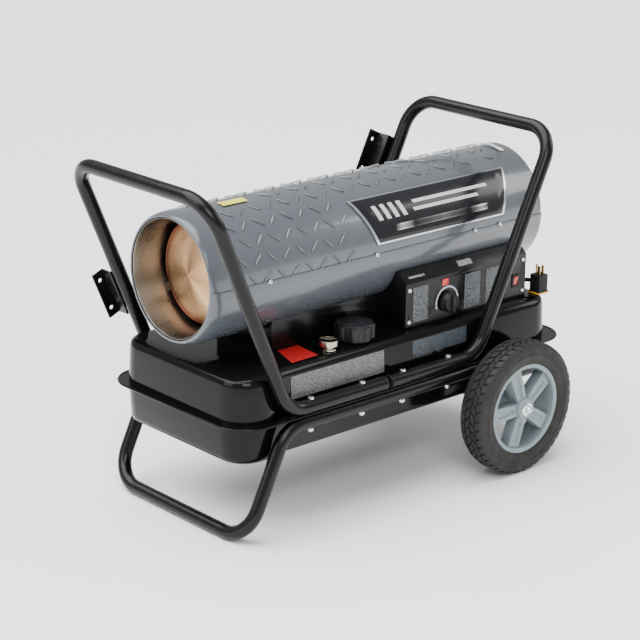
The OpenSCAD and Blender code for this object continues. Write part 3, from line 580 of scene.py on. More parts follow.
MAKERS = {
    "chamber": chamber_steel,
    "copper": target_copper,
    "plastic": black_plastic,
    "cap": lambda: black_plastic("cap_moulding", (0.012, 0.012, 0.014), 0.36),
    "tyre": tyre_rubber,
    "lens": clear_lens,
    "ceramic": lambda: simple("ceramic", (0.72, 0.70, 0.62), 0.5),
    "foam": lambda: simple("filter_foam", (0.62, 0.56, 0.38), 0.95, 0, 0.3, 200, 1500, 0.9),
    "board": lambda: simple("board_mask", (0.02, 0.12, 0.04), 0.3),
    "potting": lambda: simple("transformer_case", (0.05, 0.035, 0.025), 0.6),
    "motor": lambda: simple("motor_enamel", (0.030, 0.031, 0.034), 0.38),
    "wire": lambda: simple("wire_coating", (0.012, 0.012, 0.013), 0.3),
    "mark": lambda: simple("badge_mark", (0.50, 0.51, 0.52), 0.35, 0, 0.03),
    "gap": lambda: simple("joint_shadow", (0.004, 0.004, 0.004), 0.8),
    "badge_bar": badge_bar,
    "badge_edge": lambda: simple("badge_silver", (0.62, 0.64, 0.66), 0.2, 1.0, 0.05),
    "dial_card": lambda: simple("dial_card", (0.26, 0.25, 0.22), 0.5),
    "dial_arc": lambda: simple("dial_print", (0.42, 0.47, 0.50), 0.4, 0, 0.05),
    "amber": lambda: simple("plug_shroud", (0.75, 0.40, 0.02), 0.4),
    "red_label": lambda: striped("red_label", (0.42, 0.010, 0.012), (0.30, 0.008, 0.010), 60, amount=0.55,
                                 turn=(radians(90), 0, radians(20))),
    "silver_label": lambda: striped("silver_label", (0.15, 0.15, 0.145), (0.03, 0.03, 0.03), 90, amount=0.49),
    "dark_label": lambda: striped("dark_label", (0.006, 0.007, 0.009), (0.08, 0.10, 0.125), 58,
                                  turn=(0, radians(42), 0), amount=0.42),
    "panel_label": lambda: striped("panel_label", (0.008, 0.008, 0.009), (0.22, 0.25, 0.27), 130, amount=0.50,
                                   breaks=170),
    "bevel_label": lambda: striped("bevel_label", (0.05, 0.055, 0.06), (0.40, 0.42, 0.44), 150, amount=0.45,
                                   breaks=170),
    "white_label": lambda: striped("white_label", (0.70, 0.70, 0.68), (0.25, 0.25, 0.25), 120, amount=0.55),
    "yellow_label": lambda: simple("yellow_label", (0.62, 0.60, 0.08), 0.4, 0, 0.06),
}


# ---------- stage ----------

class StageSettings(bpy.types.PropertyGroup):
    """Camera and light."""

    lens: bpy.props.FloatProperty(name="Lens", description="Focal length of the camera in millimetres", default=113.45)
    key_power: bpy.props.FloatProperty(name="Key light", description="Power of the key light", default=60, unit="POWER")
    sky_strength: bpy.props.FloatProperty(name="Overhead light", description="Strength of the wide overhead light",
                                          default=6.3)


# Name, place, size, and share of the key light's power.
LAMPS = [("key", (-1.6, -2.6, 2.6), 1.6, 1.0), ("fill", (-3.0, 0.6, 1.8), 1.8, 0.5),
         ("rim", (2.6, -1.2, 1.8), 1.2, 0.35)]
LIT_POINT = (0, 0, 0.32)
CAMERA_AT = (-2.378, -2.585, 1.455)
# Azimuth, elevation and roll in degrees.
CAMERA_TURN = (-42.27, 18.39, 0.77)
FLOOR_SIZE = 60


class HEATER_OT_stage(bpy.types.Operator):
    """Adds the floor, the soft lights and the camera"""

    bl_idname = "heater.stage"
    bl_label = "Stage"

    def execute(self, context):
        s = context.scene.heater_stage
        deselect()
        bpy.ops.mesh.primitive_plane_add(size=FLOOR_SIZE, location=(0, 0, 0))
        floor = named(context.object, "floor")
        pale = Shader("floor_paper", (0.93, 0.93, 0.93), 0.75)
        pale.vary(2, 0.01).bump(pale.noise(200, 2), 0.02, 0.0005)
        floor.data.materials.append(pale.mat)

        world = bpy.data.worlds.new("studio")
        world.use_nodes = True
        world.node_tree.nodes["Background"].inputs["Color"].default_value = (1, 1, 1, 1)
        world.node_tree.nodes["Background"].inputs["Strength"].default_value = 0.62
        context.scene.world = world
        for name, at, size, share in LAMPS:
            deselect()
            bpy.ops.object.light_add(type="AREA", location=at)
            lamp = context.object
            lamp.name = name
            lamp.data.size = size
            lamp.data.energy = s.key_power * share
            lamp.rotation_mode = "QUATERNION"
            lamp.rotation_quaternion = (Vector(LIT_POINT) - Vector(at)).to_track_quat("-Z", "Y")

        deselect()
        bpy.ops.object.light_add(type="SUN", location=(0, 0, 4), rotation=(radians(-12), radians(-16), 0))
        sky = context.object
        sky.name = "sky_panel"
        sky.data.energy = s.sky_strength
        sky.data.angle = radians(70)

        az, el, roll = (radians(a) for a in CAMERA_TURN)
        back = Vector((sin(az) * cos(el), -cos(az) * cos(el), sin(el)))
        right = Vector((0, 0, 1)).cross(back).normalized()
        up = back.cross(right)
        right_r = right * cos(roll) + up * sin(roll)
        up_r = up * cos(roll) - right * sin(roll)
        turn = Matrix((right_r, up_r, back)).transposed()
        bpy.ops.object.camera_add(location=CAMERA_AT)
        cam = context.object
        cam.rotation_mode = "QUATERNION"
        cam.rotation_quaternion = turn.to_quaternion()
        cam.data.lens = s.lens
        cam.data.sensor_width = 36
        context.scene.camera = cam
        return {"FINISHED"}


# ---------- power lead ----------

LEAD_R = 0.004
LEAD_ROUTE = [
    (361, -50, 306), (366, -50, 306), (371, -50, 305.6), (376, -50.8, 305), (382, -52.8, 304),
    (388, -56, 303), (393.5, -60.5, 302.4), (398.5, -66, 302.2), (402.5, -72.5, 302.6),
    (405.5, -80, 303.6), (407, -87, 305), (408, -94, 306.8), (408, -101, 308.6), (408, -108, 310.2),
    (408, -115, 311.4), (408, -122, 312),
]


def between(a, b, c, d, t):
    """A point on the smooth curve from b to c, a share t of the way along."""
    return 0.5 * (2 * b + (c - a) * t + (2 * a - 5 * b + 4 * c - d) * t * t + (3 * b - a - 3 * c + d) * t ** 3)


def smooth_route(route, steps):
    """The route's points in metres, with steps points on each stretch between two of them."""
    p = [Vector(q) * MM for q in route]
    last = len(p) - 1
    out = []
    for i in range(last):
        a, b, c, d = p[max(i - 1, 0)], p[i], p[i + 1], p[min(i + 2, last)]
        out += [between(a, b, c, d, k / steps) for k in range(steps)]
    return out + [p[last]]


class HEATER_OT_lead(bpy.types.Operator):
    """Makes the short power lead with its strain relief and plug"""

    bl_idname = "heater.lead"
    bl_label = "Power lead"

    def execute(self, context):
        points = smooth_route(LEAD_ROUTE, 4)
        lead = tube("lead", points, LEAD_R, sides=5)
        finish(lead, mat("lead"), "power_cord")
        relief = lathe("strain_relief", [(0, 0.343), (0.0076, 0.343), (0.0076, 0.346), (0.0062, 0.3465),
                                         (0.0062, 0.3485), (0.0070, 0.349), (0.0068, 0.3515), (0.0056, 0.352),
                                         (0.0056, 0.354), (0.0062, 0.3545), (0.0060, 0.357), (0.0050, 0.3575),
                                         (0.0052, 0.361), (0.0040, 0.361)], centre=(0, *RELIEF_AT), steps=32)
        nut = cylinder("relief_nut", 0.0108, 0.003, (0.3415, *RELIEF_AT), "X", 6)
        shank = cylinder("relief_shank", 0.008, 0.006, (0.337, *RELIEF_AT), "X")
        soften(nut, 0.0005)
        relief = join("strain_relief", [relief, nut, shank])
        smooth(relief, 40)
        finish(relief, mat("plastic"), "cord_gland")
        plug = refined("plug", "plug_body", mat("plastic"), 0.0012, segments=3)
        shroud = block("plug_shroud", (0.3942, -0.1538, DECK_Z + 0.0005), (0.4218, -0.1262, DECK_Z + 0.0036))
        soften(shroud, 0.0008)
        finish(shroud, mat("amber"))
        prongs = refined("plug_prongs", "prongs", mat("brass"), 0.0003)
        return {"FINISHED"}


# ---------- barrel ----------

def shell_profile(r, steps=12):
    """A sheet of outer radius r that rolls in at the mouth and has a small lip at the rear."""
    nose, t = 0.030, SHEET
    bends = [radians(90 * i / steps) for i in range(steps + 1)]
    outer = [(LIP_R + (r - LIP_R) * sin(a), MOUTH_X + nose * (1 - cos(a))) for a in bends]
    inner = [(LIP_R - t + (r - LIP_R) * sin(a), MOUTH_X + t * 0.4 + nose * (1 - cos(a))) for a in reversed(bends)]
    rear = [(r, REAR_X - 0.006), (r - 0.0006, REAR_X - 0.003), (r - 0.002, REAR_X - 0.001), (r - 0.005, REAR_X),
            (r - 0.005, REAR_X - t), (r - t - 0.0006, REAR_X - 0.005)]
    closed = outer + rear + inner
    return closed + [closed[0]]


def tread_bar(length=0.026, width=0.0042, height=0.0010):
    """One raised bar: a stretched lens that tapers at both ends."""
    deselect()
    bpy.ops.mesh.primitive_cylinder_add(vertices=12, radius=0.5, depth=1, location=(0, 0, 0))
    bar = named(bpy.context.object, "tread_bar")
    edit(bar)
    bpy.ops.transform.resize(value=(length, width, 2 * height))
    select_faces(bar, lambda c, n: n.z > 0.9)
    bpy.ops.transform.resize(value=(0.72, 0.35, 1))
    bpy.ops.object.mode_set(mode="OBJECT")
    smooth(bar, 60)
    return bar


def barrel_place(x, angle, turn, r):
    """Matrix that stands a flat piece on the barrel; angle 0 is down and 270 is -Y."""
    a = radians(angle)
    out = Vector((0, sin(a), -cos(a)))
    round_ = Vector((0, cos(a), sin(a)))
    along = Vector((1, 0, 0))
    t = radians(turn)
    u = along * cos(t) + round_ * sin(t)
    v = out.cross(u)
    at = Vector((x, 0, BARREL_Z)) + out * r
    return Matrix(((u.x, v.x, out.x, at.x), (u.y, v.y, out.y, at.y), (u.z, v.z, out.z, at.z), (0, 0, 0, 1)))


TREAD_PITCH = 0.032
TREAD_START = 0.056
TREAD_SINK = 0.0001


def bare(x, angle):
    """True where the barrel is plain: at the joint, badge, label, base, control box and rear end."""
    by_joint = 84 <= angle < 92 or 268 < angle <= 276
    by_badge = x > -0.060 and 212 < angle < 269
    by_label = 170 < angle < 200 and -0.295 < x < -0.200
    by_base = (angle < 48 or angle > 312) and -0.225 < x < 0.355
    by_box = angle > 276 and x > 0.045
    return by_joint or by_badge or by_label or by_base or by_box or x > REAR_X - 0.03


def tread_spots():
    spots = []
    for i, angle in enumerate(range(10, 353, 16)):
        r = (LOWER_R if angle < 84 or angle > 276 else BARREL_R) - TREAD_SINK
        for k in range(30):
            x = MOUTH_X + TREAD_START + k * TREAD_PITCH + (TREAD_PITCH / 2 if i % 2 else 0)
            if not bare(x, angle):
                spots.append(barrel_place(x, angle, 45 if (i + k) % 2 else -45, r))
    return spots


class HEATER_OT_shells(bpy.types.Operator):
    """Makes the two barrel shells, their raised tread and their screws"""

    bl_idname = "heater.shells"
    bl_label = "Barrel shells"

    def execute(self, context):
        upper = lathe("shell_top", shell_profile(BARREL_R), start=90, sweep=180, steps=48)
        skirts = [block("skirt", (MOUTH_X + 0.034, y, BARREL_Z - 0.013), (REAR_X - 0.006, y + SHEET, BARREL_Z + 0.0005))
                  for y in (-BARREL_R, BARREL_R - SHEET)]
        for s in skirts:
            soften(s, 0.0005)
        upper = join("shell_top", [upper] + skirts)
        smooth(upper, 40)
        finish(upper, mat("shell"), "upper_shell")
        lower = lathe("shell_bottom", shell_profile(LOWER_R), start=270, sweep=180, steps=48)
        smooth(lower, 40)
        finish(lower, mat("shell"), "lower_shell")

        tread = ring_of(tread_bar(), tread_spots(), "shell_tread")
        smooth(tread, 60)
        finish(tread, mat("shell"))

        head = lathe("screw", [(0, 0.0031), (0.0022, 0.0029), (0.0038, 0.0020), (0.0046, 0.0006), (0.0046, 0),
                               (0.0021, 0), (0.0021, -0.0075), (0, -0.0075)], "Z", (0, 0, 0), steps=20)
        smooth(head, 40)
        spots = []
        for x in (-0.250, 0.0, 0.250, 0.316):
            for s in (-1, 1):
                spots.append(Matrix.Translation((x, s * BARREL_R, 0.4385)) @ Matrix.Rotation(-s * pi / 2, 4, "X"))
        heads = ring_of(head, spots, "shell_screw_heads")
        finish(heads, mat("zinc"), "shell_screws")

        gap_in, gap_out, gap_mid = CHAMBER_R + 0.0013, LIP_R - 0.0006, LIP_R - 0.0018
        section = [(gap_out, 0.0012), (gap_out, 0.012), (gap_in, 0.012), (gap_in, 0.010), (gap_mid, 0.010),
                   (gap_mid, 0.0012), (gap_out, 0.0012)]
        gap = lathe("mouth_gap", [(r, MOUTH_X + t) for r, t in section])
        smooth(gap, 40)
        finish(gap, mat("gap"))
        return {"FINISHED"}


def bent_plate(name, corners_low, corners_high, angle_low, angle_high, r, thick, columns=18, rows=10):
    """A plate on the barrel's left side between two heights, whose ends run straight between the given X values."""
    deselect()
    bpy.ops.mesh.primitive_grid_add(x_subdivisions=columns, y_subdivisions=rows, size=1, location=(0, 0, 0))
    obj = named(bpy.context.object, name)
    for v in obj.data.vertices:
        s, t = v.co.x + 0.5, v.co.y + 0.5
        lo = corners_low[0] + (corners_low[1] - corners_low[0]) * s
        hi = corners_high[0] + (corners_high[1] - corners_high[0]) * s
        a = radians(angle_low + (angle_high - angle_low) * t)
        v.co = (lo + (hi - lo) * t, -r * cos(a), BARREL_Z + r * sin(a))
    modify(obj, "SOLIDIFY", thickness=thick, offset=1)
    tidy_mesh(obj)
    return obj


class HEATER_OT_badge(bpy.types.Operator):
    """Makes the plain name plate with its bright edge and bar"""

    bl_idname = "heater.badge"
    bl_label = "Badge"

    def execute(self, context):
        edge = bent_plate("badge_edge", (0.002, 0.326), (-0.036, 0.365), 8, 52, BARREL_R, 0.0009)
        soften(edge, 0.0004)
        finish(edge, mat("badge_edge"), "badge_plate")
        face = bent_plate("badge_face", (0.0065, 0.3215), (-0.0285, 0.3575), 9.4, 50.6, BARREL_R + 0.0009, 0.0005)
        soften(face, 0.0003)
        finish(face, mat("badge"))
        marks = []
        for x0, x1, low, high in [(0.016 + 0.020 * i, 0.026 + 0.020 * i, 28, 42) for i in range(4)] + [
                (0.108, 0.300, 37, 40), (0.104, 0.270, 30, 33)]:
            lean = 0.0006 * (high - low)
            marks.append(bent_plate("badge_marks", (x0, x1), (x0 - lean, x1 - lean), low, high, BADGE_R,
                                    0.0003, 10, 3))
        marks = join("badge_marks", marks)
        smooth(marks, 30)
        finish(marks, mat("mark"))
        for name, key, ends, low, high in (("top_label", "yellow_label", (-0.274, -0.219), 79, 88),
                                           ("rear_label", "white_label", (0.397, 0.408), 72, 100)):
            film = bent_plate(name, ends, ends, low, high, BARREL_R, 0.0003, 4, 6)
            smooth(film, 30)
            finish(film, mat(key))
        bar = bent_plate("badge_bar", (0.050, 0.285), BAR_TOP, 16.5, 22.0, BADGE_R, 0.0004, 18, 3)
        soften(bar, 0.00015)
        finish(bar, mat("badge_bar"))
        return {"FINISHED"}


# ---------- fire end ----------

TAB_ANGLES = (62, 182, 302)


class HEATER_OT_fire_end(bpy.types.Operator):
    """Makes the chamber tube, the target cone and the burner"""

    bl_idname = "heater.fire_end"
    bl_label = "Chamber and burner"

    def execute(self, context):
        t, hole_r = 0.001, 0.040
        profile = [(CHAMBER_R + t, MOUTH_X + 0.002), (CHAMBER_R + t, CHAMBER_BACK + t), (hole_r, CHAMBER_BACK + t),
                   (hole_r, CHAMBER_BACK), (CHAMBER_R - 0.004, CHAMBER_BACK), (CHAMBER_R - 0.001, CHAMBER_BACK - 0.001),
                   (CHAMBER_R, CHAMBER_BACK - 0.004), (CHAMBER_R, -0.20), (CHAMBER_R - 0.0014, -0.204),
                   (CHAMBER_R - 0.0014, -0.208), (CHAMBER_R, -0.212), (CHAMBER_R, MOUTH_X + 0.003),
                   (CHAMBER_R + 0.0005, MOUTH_X + 0.002), (CHAMBER_R + t, MOUTH_X + 0.002)]
        chamber = lathe("chamber_tube", profile, steps=96)
        smooth(chamber, 40)
        finish(chamber, mat("chamber"), "combustion_chamber")
        cone = [(0, TARGET_X - 0.027), (0.002, TARGET_X - 0.0266), (TARGET_R - 0.004, TARGET_X - 0.0022),
                (TARGET_R - 0.0022, TARGET_X - 0.0022), (TARGET_R - 0.0012, TARGET_X - 0.0030),
                (TARGET_R, TARGET_X - 0.0018), (TARGET_R, TARGET_X + 0.008), (TARGET_R - 0.0012, TARGET_X + 0.008),
                (TARGET_R - 0.0012, TARGET_X + 0.0006), (TARGET_R - 0.0026, TARGET_X - 0.0008), (0, TARGET_X - 0.0258)]
        target = lathe("target_cone", cone, steps=96)
        smooth(target, 30)
        tabs = []
        wall_z, half = BARREL_Z - CHAMBER_R, 0.007
        for a in TAB_ANGLES:
            corner = (TARGET_X + 0.0005, -half, wall_z + 0.0004)
            leaf = block("tab", corner, (TARGET_X + 0.0017, half, BARREL_Z - TARGET_R + 0.001))
            foot = block("tab", corner, (TARGET_X + 0.012, half, wall_z + 0.0016))
            rivet = lathe("tab", [(0, 0.0024), (0.0016, 0.0021), (0.0026, 0.001), (0.0028, 0)], "Z",
                          (TARGET_X + 0.006, 0, wall_z + 0.0016), steps=16)
            tab = join("tab", [leaf, foot, rivet])
            soften(tab, 0.0003)
            place(tab, turned(a))
            tabs.append(tab)
        tabs = join("target_tabs", tabs)
        finish(tabs, mat("chamber"))
        finish(target, mat("copper"), "flame_target")
        refined("burner_head", "swirl_plate", mat("cast"), 0.0004)
        refined("nozzle", "fuel_nozzle", mat("brass"), 0.0004)
        refined("igniter", "igniter_rods", mat("ceramic"), 0.0003)
        refined("photocell", "flame_sensor", mat("plastic"), 0.0004)
        refined("fuel_line", "fuel_pipe", mat("brass"), 0)
        refined("air_line", "air_hose", mat("lead"), 0)
        return {"FINISHED"}


class HEATER_OT_fan_end(bpy.types.Operator):
    """Makes the motor, fan, air pump and inlet guard"""

    bl_idname = "heater.fan_end"
    bl_label = "Motor, fan and guard"

    def execute(self, context):
        refined("motor", "motor_case", mat("motor"), 0.0008)
        refined("motor_bracket", "motor_strap", mat("zinc"), 0.0004)
        refined("motor_shaft", "shaft", mat("zinc"), 0.0004)
        refined("fan", "fan_wheel", mat("cast"), 0.0004)
        refined("pump_body", "pump_case", mat("cast"), 0.0006)
        refined("pump_rotor", "pump_vanes", mat("motor"), 0.0002)
        refined("pump_cover", "pump_end_cover", mat("cast"), 0.0008)
        refined("air_filter", "filter_pad", mat("foam"), 0.0008)
        gx = REAR_X - 0.003
        wires = []
        rings = [(0.024 + 0.012 * i, 0.0014, 0.003) for i in range(7)]
        for r, wire, ahead in rings + [(0.106, 0.0022, 0.001)]:
            turns = [2 * pi * i / SEG for i in range(SEG)]
            ring = [(gx + ahead, r * sin(a), BARREL_Z + r * cos(a)) for a in turns]
            wires.append(tube("wire", ring, wire, 3, closed=True))
        for i in range(6):
            a = radians(i * 60 + 30)
            ends = [(gx + 0.001, r * sin(a), BARREL_Z - r * cos(a)) for r in (0.015, 0.060, 0.1055)]
            wires.append(tube("wire", ends, 0.0015, 3))
        hub = lathe("wire", [(0, gx + 0.0045), (0.015, gx + 0.0045), (0.018, gx + 0.003), (0.018, gx - 0.0005),
                             (0, gx - 0.0005)], steps=32)
        smooth(hub, 40)
        guard = join("inlet_guard", wires + [hub])
        finish(guard, mat("wire"), "fan_guard")
        return {"FINISHED"}


# ---------- tank ----------

def label(name, corners, normal, material, lift=0.0003):
    """A thin four-cornered film that lies on a flat face."""
    deselect()
    bpy.ops.mesh.primitive_plane_add(size=1, location=(0, 0, 0))
    obj = named(bpy.context.object, name)
    mesh = obj.data
    n = Vector(normal)
    for i, c in zip((0, 1, 3, 2), corners):
        mesh.vertices[i].co = Vector(c) + n * lift
    edit(obj)
    bpy.ops.mesh.extrude_region_move(TRANSFORM_OT_translate={"value": tuple(n * 0.0002)})
    bpy.ops.object.mode_set(mode="OBJECT")
    tidy_mesh(obj, 0.000001)
    return finish(obj, mat(material))


# Centre of each rounded corner of the rolled edge, and the angle where its arc starts.
EDGE_CORNERS = [(-0.316, -0.128, 180), (0.3867, -0.128, 270), (0.3867, 0.128, 0), (-0.316, 0.128, 90)]
EDGE_R = 0.0602
EDGE_STEPS = 12
WAIST_Y = 0.1602
SIDE_TOP_Z = 0.2777


def side_y(z):
    """Where the pan's side stands in the waist: it leans out by 3 mm over the 65 mm below its top."""
    return -WAIST_Y - 0.003 * (SIDE_TOP_Z - z) / 0.065


class HEATER_OT_tank(bpy.types.Operator):
    """Makes the two pressed pans, the rolled flange and the labels"""

    bl_idname = "heater.tank"
    bl_label = "Fuel tank"

    def execute(self, context):
        for node, name in (("tank_top", "tank_upper_pan"), ("tank_bottom", "tank_lower_pan")):
            refined(node, name, mat("tank"), 0, angle=40)
        label("deck_label", [(-0.219, -0.140, DECK_Z), (-0.157, -0.138, DECK_Z), (-0.149, -0.069, DECK_Z),
                             (-0.190, -0.056, DECK_Z)], (0, 0, 1), "red_label")
        for name, key, x0, x1, z0, z1 in (("side_label", "silver_label", -0.240, -0.020, 0.236, 0.277),
                                          ("warning_film", "dark_label", 0.051, 0.190, 0.247, 0.277)):
            y0, y1 = side_y(z0), side_y(z1)
            label(name, [(x0, y0, z0), (x1, y0, z0), (x1, y1, z1), (x0, y1, z1)], (0, -1, 0), key)
        edge = []
        for cx, cy, start in EDGE_CORNERS:
            for i in range(EDGE_STEPS + 1):
                a = radians(start + 90 * i / EDGE_STEPS)
                edge.append((cx + EDGE_R * cos(a), cy + EDGE_R * sin(a), SEAM_Z))
        rolled = tube("tank_rolled_edge", edge, 0.0024, 4, closed=True)
        finish(rolled, mat("tank"))
        refined("pickup_filter", "fuel_pickup", mat("brass"), 0.0004)
        return {"FINISHED"}


class HEATER_OT_filler(bpy.types.Operator):
    """Makes the filler cap, its neck and the fuel gauge"""

    bl_idname = "heater.filler"
    bl_label = "Filler and gauge"

    def execute(self, context):
        refined("filler_neck", "neck", mat("tank"), 0.0004)
        refined("cap_gasket", "cap_seal_ring", mat("lead"), 0.0004)
        refined("fuel_cap", "cap_lobed", mat("cap"), 0.0018, segments=3)
        refined("gauge_body", "gauge_case", mat("gauge"), 0.0008, segments=3)
        refined("gauge_lens", "gauge_glass", mat("lens"), 0.0003)
        refined("gauge_needle", "gauge_pointer", mat("red"), 0.0001)
        refined("float_arm", "float_lever_rod", mat("brass"), 0.0002)
        refined("float", "float_foam_roll", mat("plastic"), 0.001)
        dial = cylinder("gauge_dial", 0.0152, 0.0004, (*GAUGE, DECK_Z + 0.0132))
        soften(dial, 0.0001)
        finish(dial, mat("dial_card"))
        return {"FINISHED"}


# ---------- frame ----------

RUN_Z = SEAM_Z + 0.001 + TUBE_R
STAND_Z = SEAM_Z - 0.001 - TUBE_R
GRIP_Z = 0.6206
FRONT_PATH = [(-0.042, RUN_Z), (-0.2665, RUN_Z), (-0.436, GRIP_Z)]
REAR_PATH = [(-0.027, RUN_Z), (0.192, RUN_Z), (0.382, GRIP_Z)]
STAND_PATH = [(0.264, 0.106), (0.214, STAND_Z), (-0.2706, STAND_Z), (-0.3576, TUBE_R)]


def frame_tube(name, side_path, node):
    """One bent tube that runs along both sides and across between them."""
    left = [(x, -TUBE_Y, z) for x, z in side_path]
    right = [(x, TUBE_Y, z) for x, z in reversed(side_path)]
    obj = tube(name, tube_path(left + right, BEND_R), TUBE_R, 8)
    return finish(obj, mat("black"), node)


class HEATER_OT_frame(bpy.types.Operator):
    """Makes the bent tube handles, the stand, the bolts and the hooks"""

    bl_idname = "heater.frame_tubes"
    bl_label = "Tube frame"

    def execute(self, context):
        frame_tube("handle_front", FRONT_PATH, "front_handle")
        frame_tube("handle_rear", REAR_PATH, "rear_handle")
        frame_tube("stand", STAND_PATH, "wheel_stand")
        refined("frame_bolts", "frame_fixings", mat("zinc"), 0.0003)
        refined("tube_plugs", "tube_end_plugs", mat("plastic"), 0.0012, segments=3)
        for node, name in (("cord_hook_front", "hook_front"), ("cord_hook_rear", "hook_rear")):
            refined(node, name, mat("black"), 0.0006)
        return {"FINISHED"}


# ---------- controls ----------

DIAL_R = 0.028
PRINT_Z = (0.302, 0.368)
# The sloping strip above the panel: where it starts, and how far it runs in and up.
BEVEL_Z = 0.377
BEVEL_IN = 0.021
BEVEL_UP = 0.018


class HEATER_OT_controls(bpy.types.Operator):
    """Makes the base housing, the control box and what is on it"""

    bl_idname = "heater.controls"
    bl_label = "Controls"

    def execute(self, context):
        refined("base_housing", "base_cover", mat("black"), 0.0006)
        refined("control_box", "control_cover", mat("black"), 0.0009, segments=3)
        refined("panel_screws", "panel_screw_heads", mat("zinc"), 0.0003)
        refined("thermostat", "thermostat_body", mat("ceramic"), 0.0005)
        refined("switch_body", "switch_case", mat("plastic"), 0.0005)
        refined("rocker", "rocker_key", mat("red"), 0.0004)
        refined("display", "display_window", mat("red"), 0.0005)
        refined("circuit_board", "control_board", mat("board"), 0.0002)
        refined("transformer", "ignition_transformer", mat("potting"), 0.0008)
        refined("knob", "knob_dial", mat("plastic"), 0.0008, segments=3)
        y = BOX_Y
        turns = [radians(-20 + 220 * i / 24) for i in range(25)]
        arc = [(KNOB[0] + DIAL_R * cos(a), y - 0.0004, KNOB[1] + DIAL_R * sin(a)) for a in turns]
        ring = tube("dial_arc", arc, 0.0019, 3)
        edit(ring)
        bpy.ops.transform.resize(value=(1, 0.12, 1), center_override=(KNOB[0], y, KNOB[1]))
        bpy.ops.object.mode_set(mode="OBJECT")
        finish(ring, mat("dial_arc"))
        z0, z1 = PRINT_Z
        for i, (x0, x1) in enumerate([(0.072, 0.110), (0.205, 0.246), (0.262, 0.300)]):
            label(f"panel_print_{i}", [(x0, y, z0), (x1, y, z0), (x1, y, z1), (x0, y, z1)], (0, -1, 0),
                  "panel_label")
        normal = Vector((0, -BEVEL_UP, BEVEL_IN)).normalized()
        for i, (x0, x1, t0, t1) in enumerate([(0.068, 0.108, 0.35, 0.50), (0.196, 0.232, 0.30, 0.75)]):
            corners = ((x0, t0), (x1, t0), (x1, t1), (x0, t1))
            label(f"bevel_print_{i}", [(x, y + BEVEL_IN * t, BEVEL_Z + BEVEL_UP * t) for x, t in corners], normal,
                  "bevel_label")
        return {"FINISHED"}


# ---------- wheels ----------

def wheel_turn(side):
    """From a wheel drawn with its axis up to its place on the axle."""
    return Matrix.Translation((AXLE_X, 0, WHEEL_R)) @ Matrix.Rotation(-side * pi / 2, 4, "X")


MID = (WHEEL_IN + WHEEL_OUT) / 2
HALF = (WHEEL_OUT - WHEEL_IN) / 2
NUT_AT = 0.2625
RIM_REST_TURN = 19
SPOKES = 5
SPOKE_ROOT, SPOKE_TIP = (0.014, 0.0115), (0.078, 0.0152)
# Height above the tyre's middle, width, offset along the row, and slant of each row of blocks.
TREAD_ROWS = [(-0.0215, 0.0100, 0.5, 10), (-0.0095, 0.0105, 0.0, -16), (0.0030, 0.0105, 0.5, 16),
              (0.0150, 0.0100, 0.0, -10)]
TREAD_COUNT = 44


def make_rim():
    """A rim that stands on Z: outer band, hub and grooved spokes."""
    band_section = [(RIM_R, -0.024), (RIM_R, 0.0235), (RIM_R - 0.001, 0.0245), (0.0795, 0.0245), (0.0775, 0.0225),
                    (0.0765, -0.022), (0.078, -0.024), (RIM_R, -0.024)]
    band = lathe("rim", [(r, MID + t) for r, t in band_section], "Z", (0, 0, 0), steps=72)
    hub = lathe("rim", [(0.0082, 0.1995), (0.020, 0.1995), (0.021, 0.2005), (0.021, 0.2590), (0.0195, 0.2610),
                        (0.0145, 0.2620), (0.0082, 0.2620), (0.0082, 0.1995)], "Z", (0, 0, 0), steps=48)
    smooth(band, 40)
    smooth(hub, 40)
    deselect()
    bpy.ops.mesh.primitive_cube_add(size=1, location=(0, 0, 0))
    spoke = bpy.context.object
    z0, z1 = MID - 0.004, MID + 0.018
    for v in spoke.data.vertices:
        far = v.co.x > 0
        r, half = SPOKE_TIP if far else SPOKE_ROOT
        v.co = (r, half if v.co.y > 0 else -half, (z1 if far else z1 + 0.003) if v.co.z > 0 else z0)
    edit(spoke)
    select_faces(spoke, lambda c, n: n.z > 0.9)
    bpy.ops.mesh.inset(thickness=0.0082, depth=0)
    bpy.ops.transform.resize(value=(0.86, 1, 1))
    bpy.ops.mesh.inset(thickness=0.0006, depth=-0.003)
    bpy.ops.object.mode_set(mode="OBJECT")
    soften(spoke, 0.0012, 2, 25)
    spokes = ring_of(spoke, [Matrix.Rotation(radians(i * 360 / SPOKES + 18), 4, "Z") for i in range(SPOKES)], "rim")
    return join("rim", [band, hub, spokes])


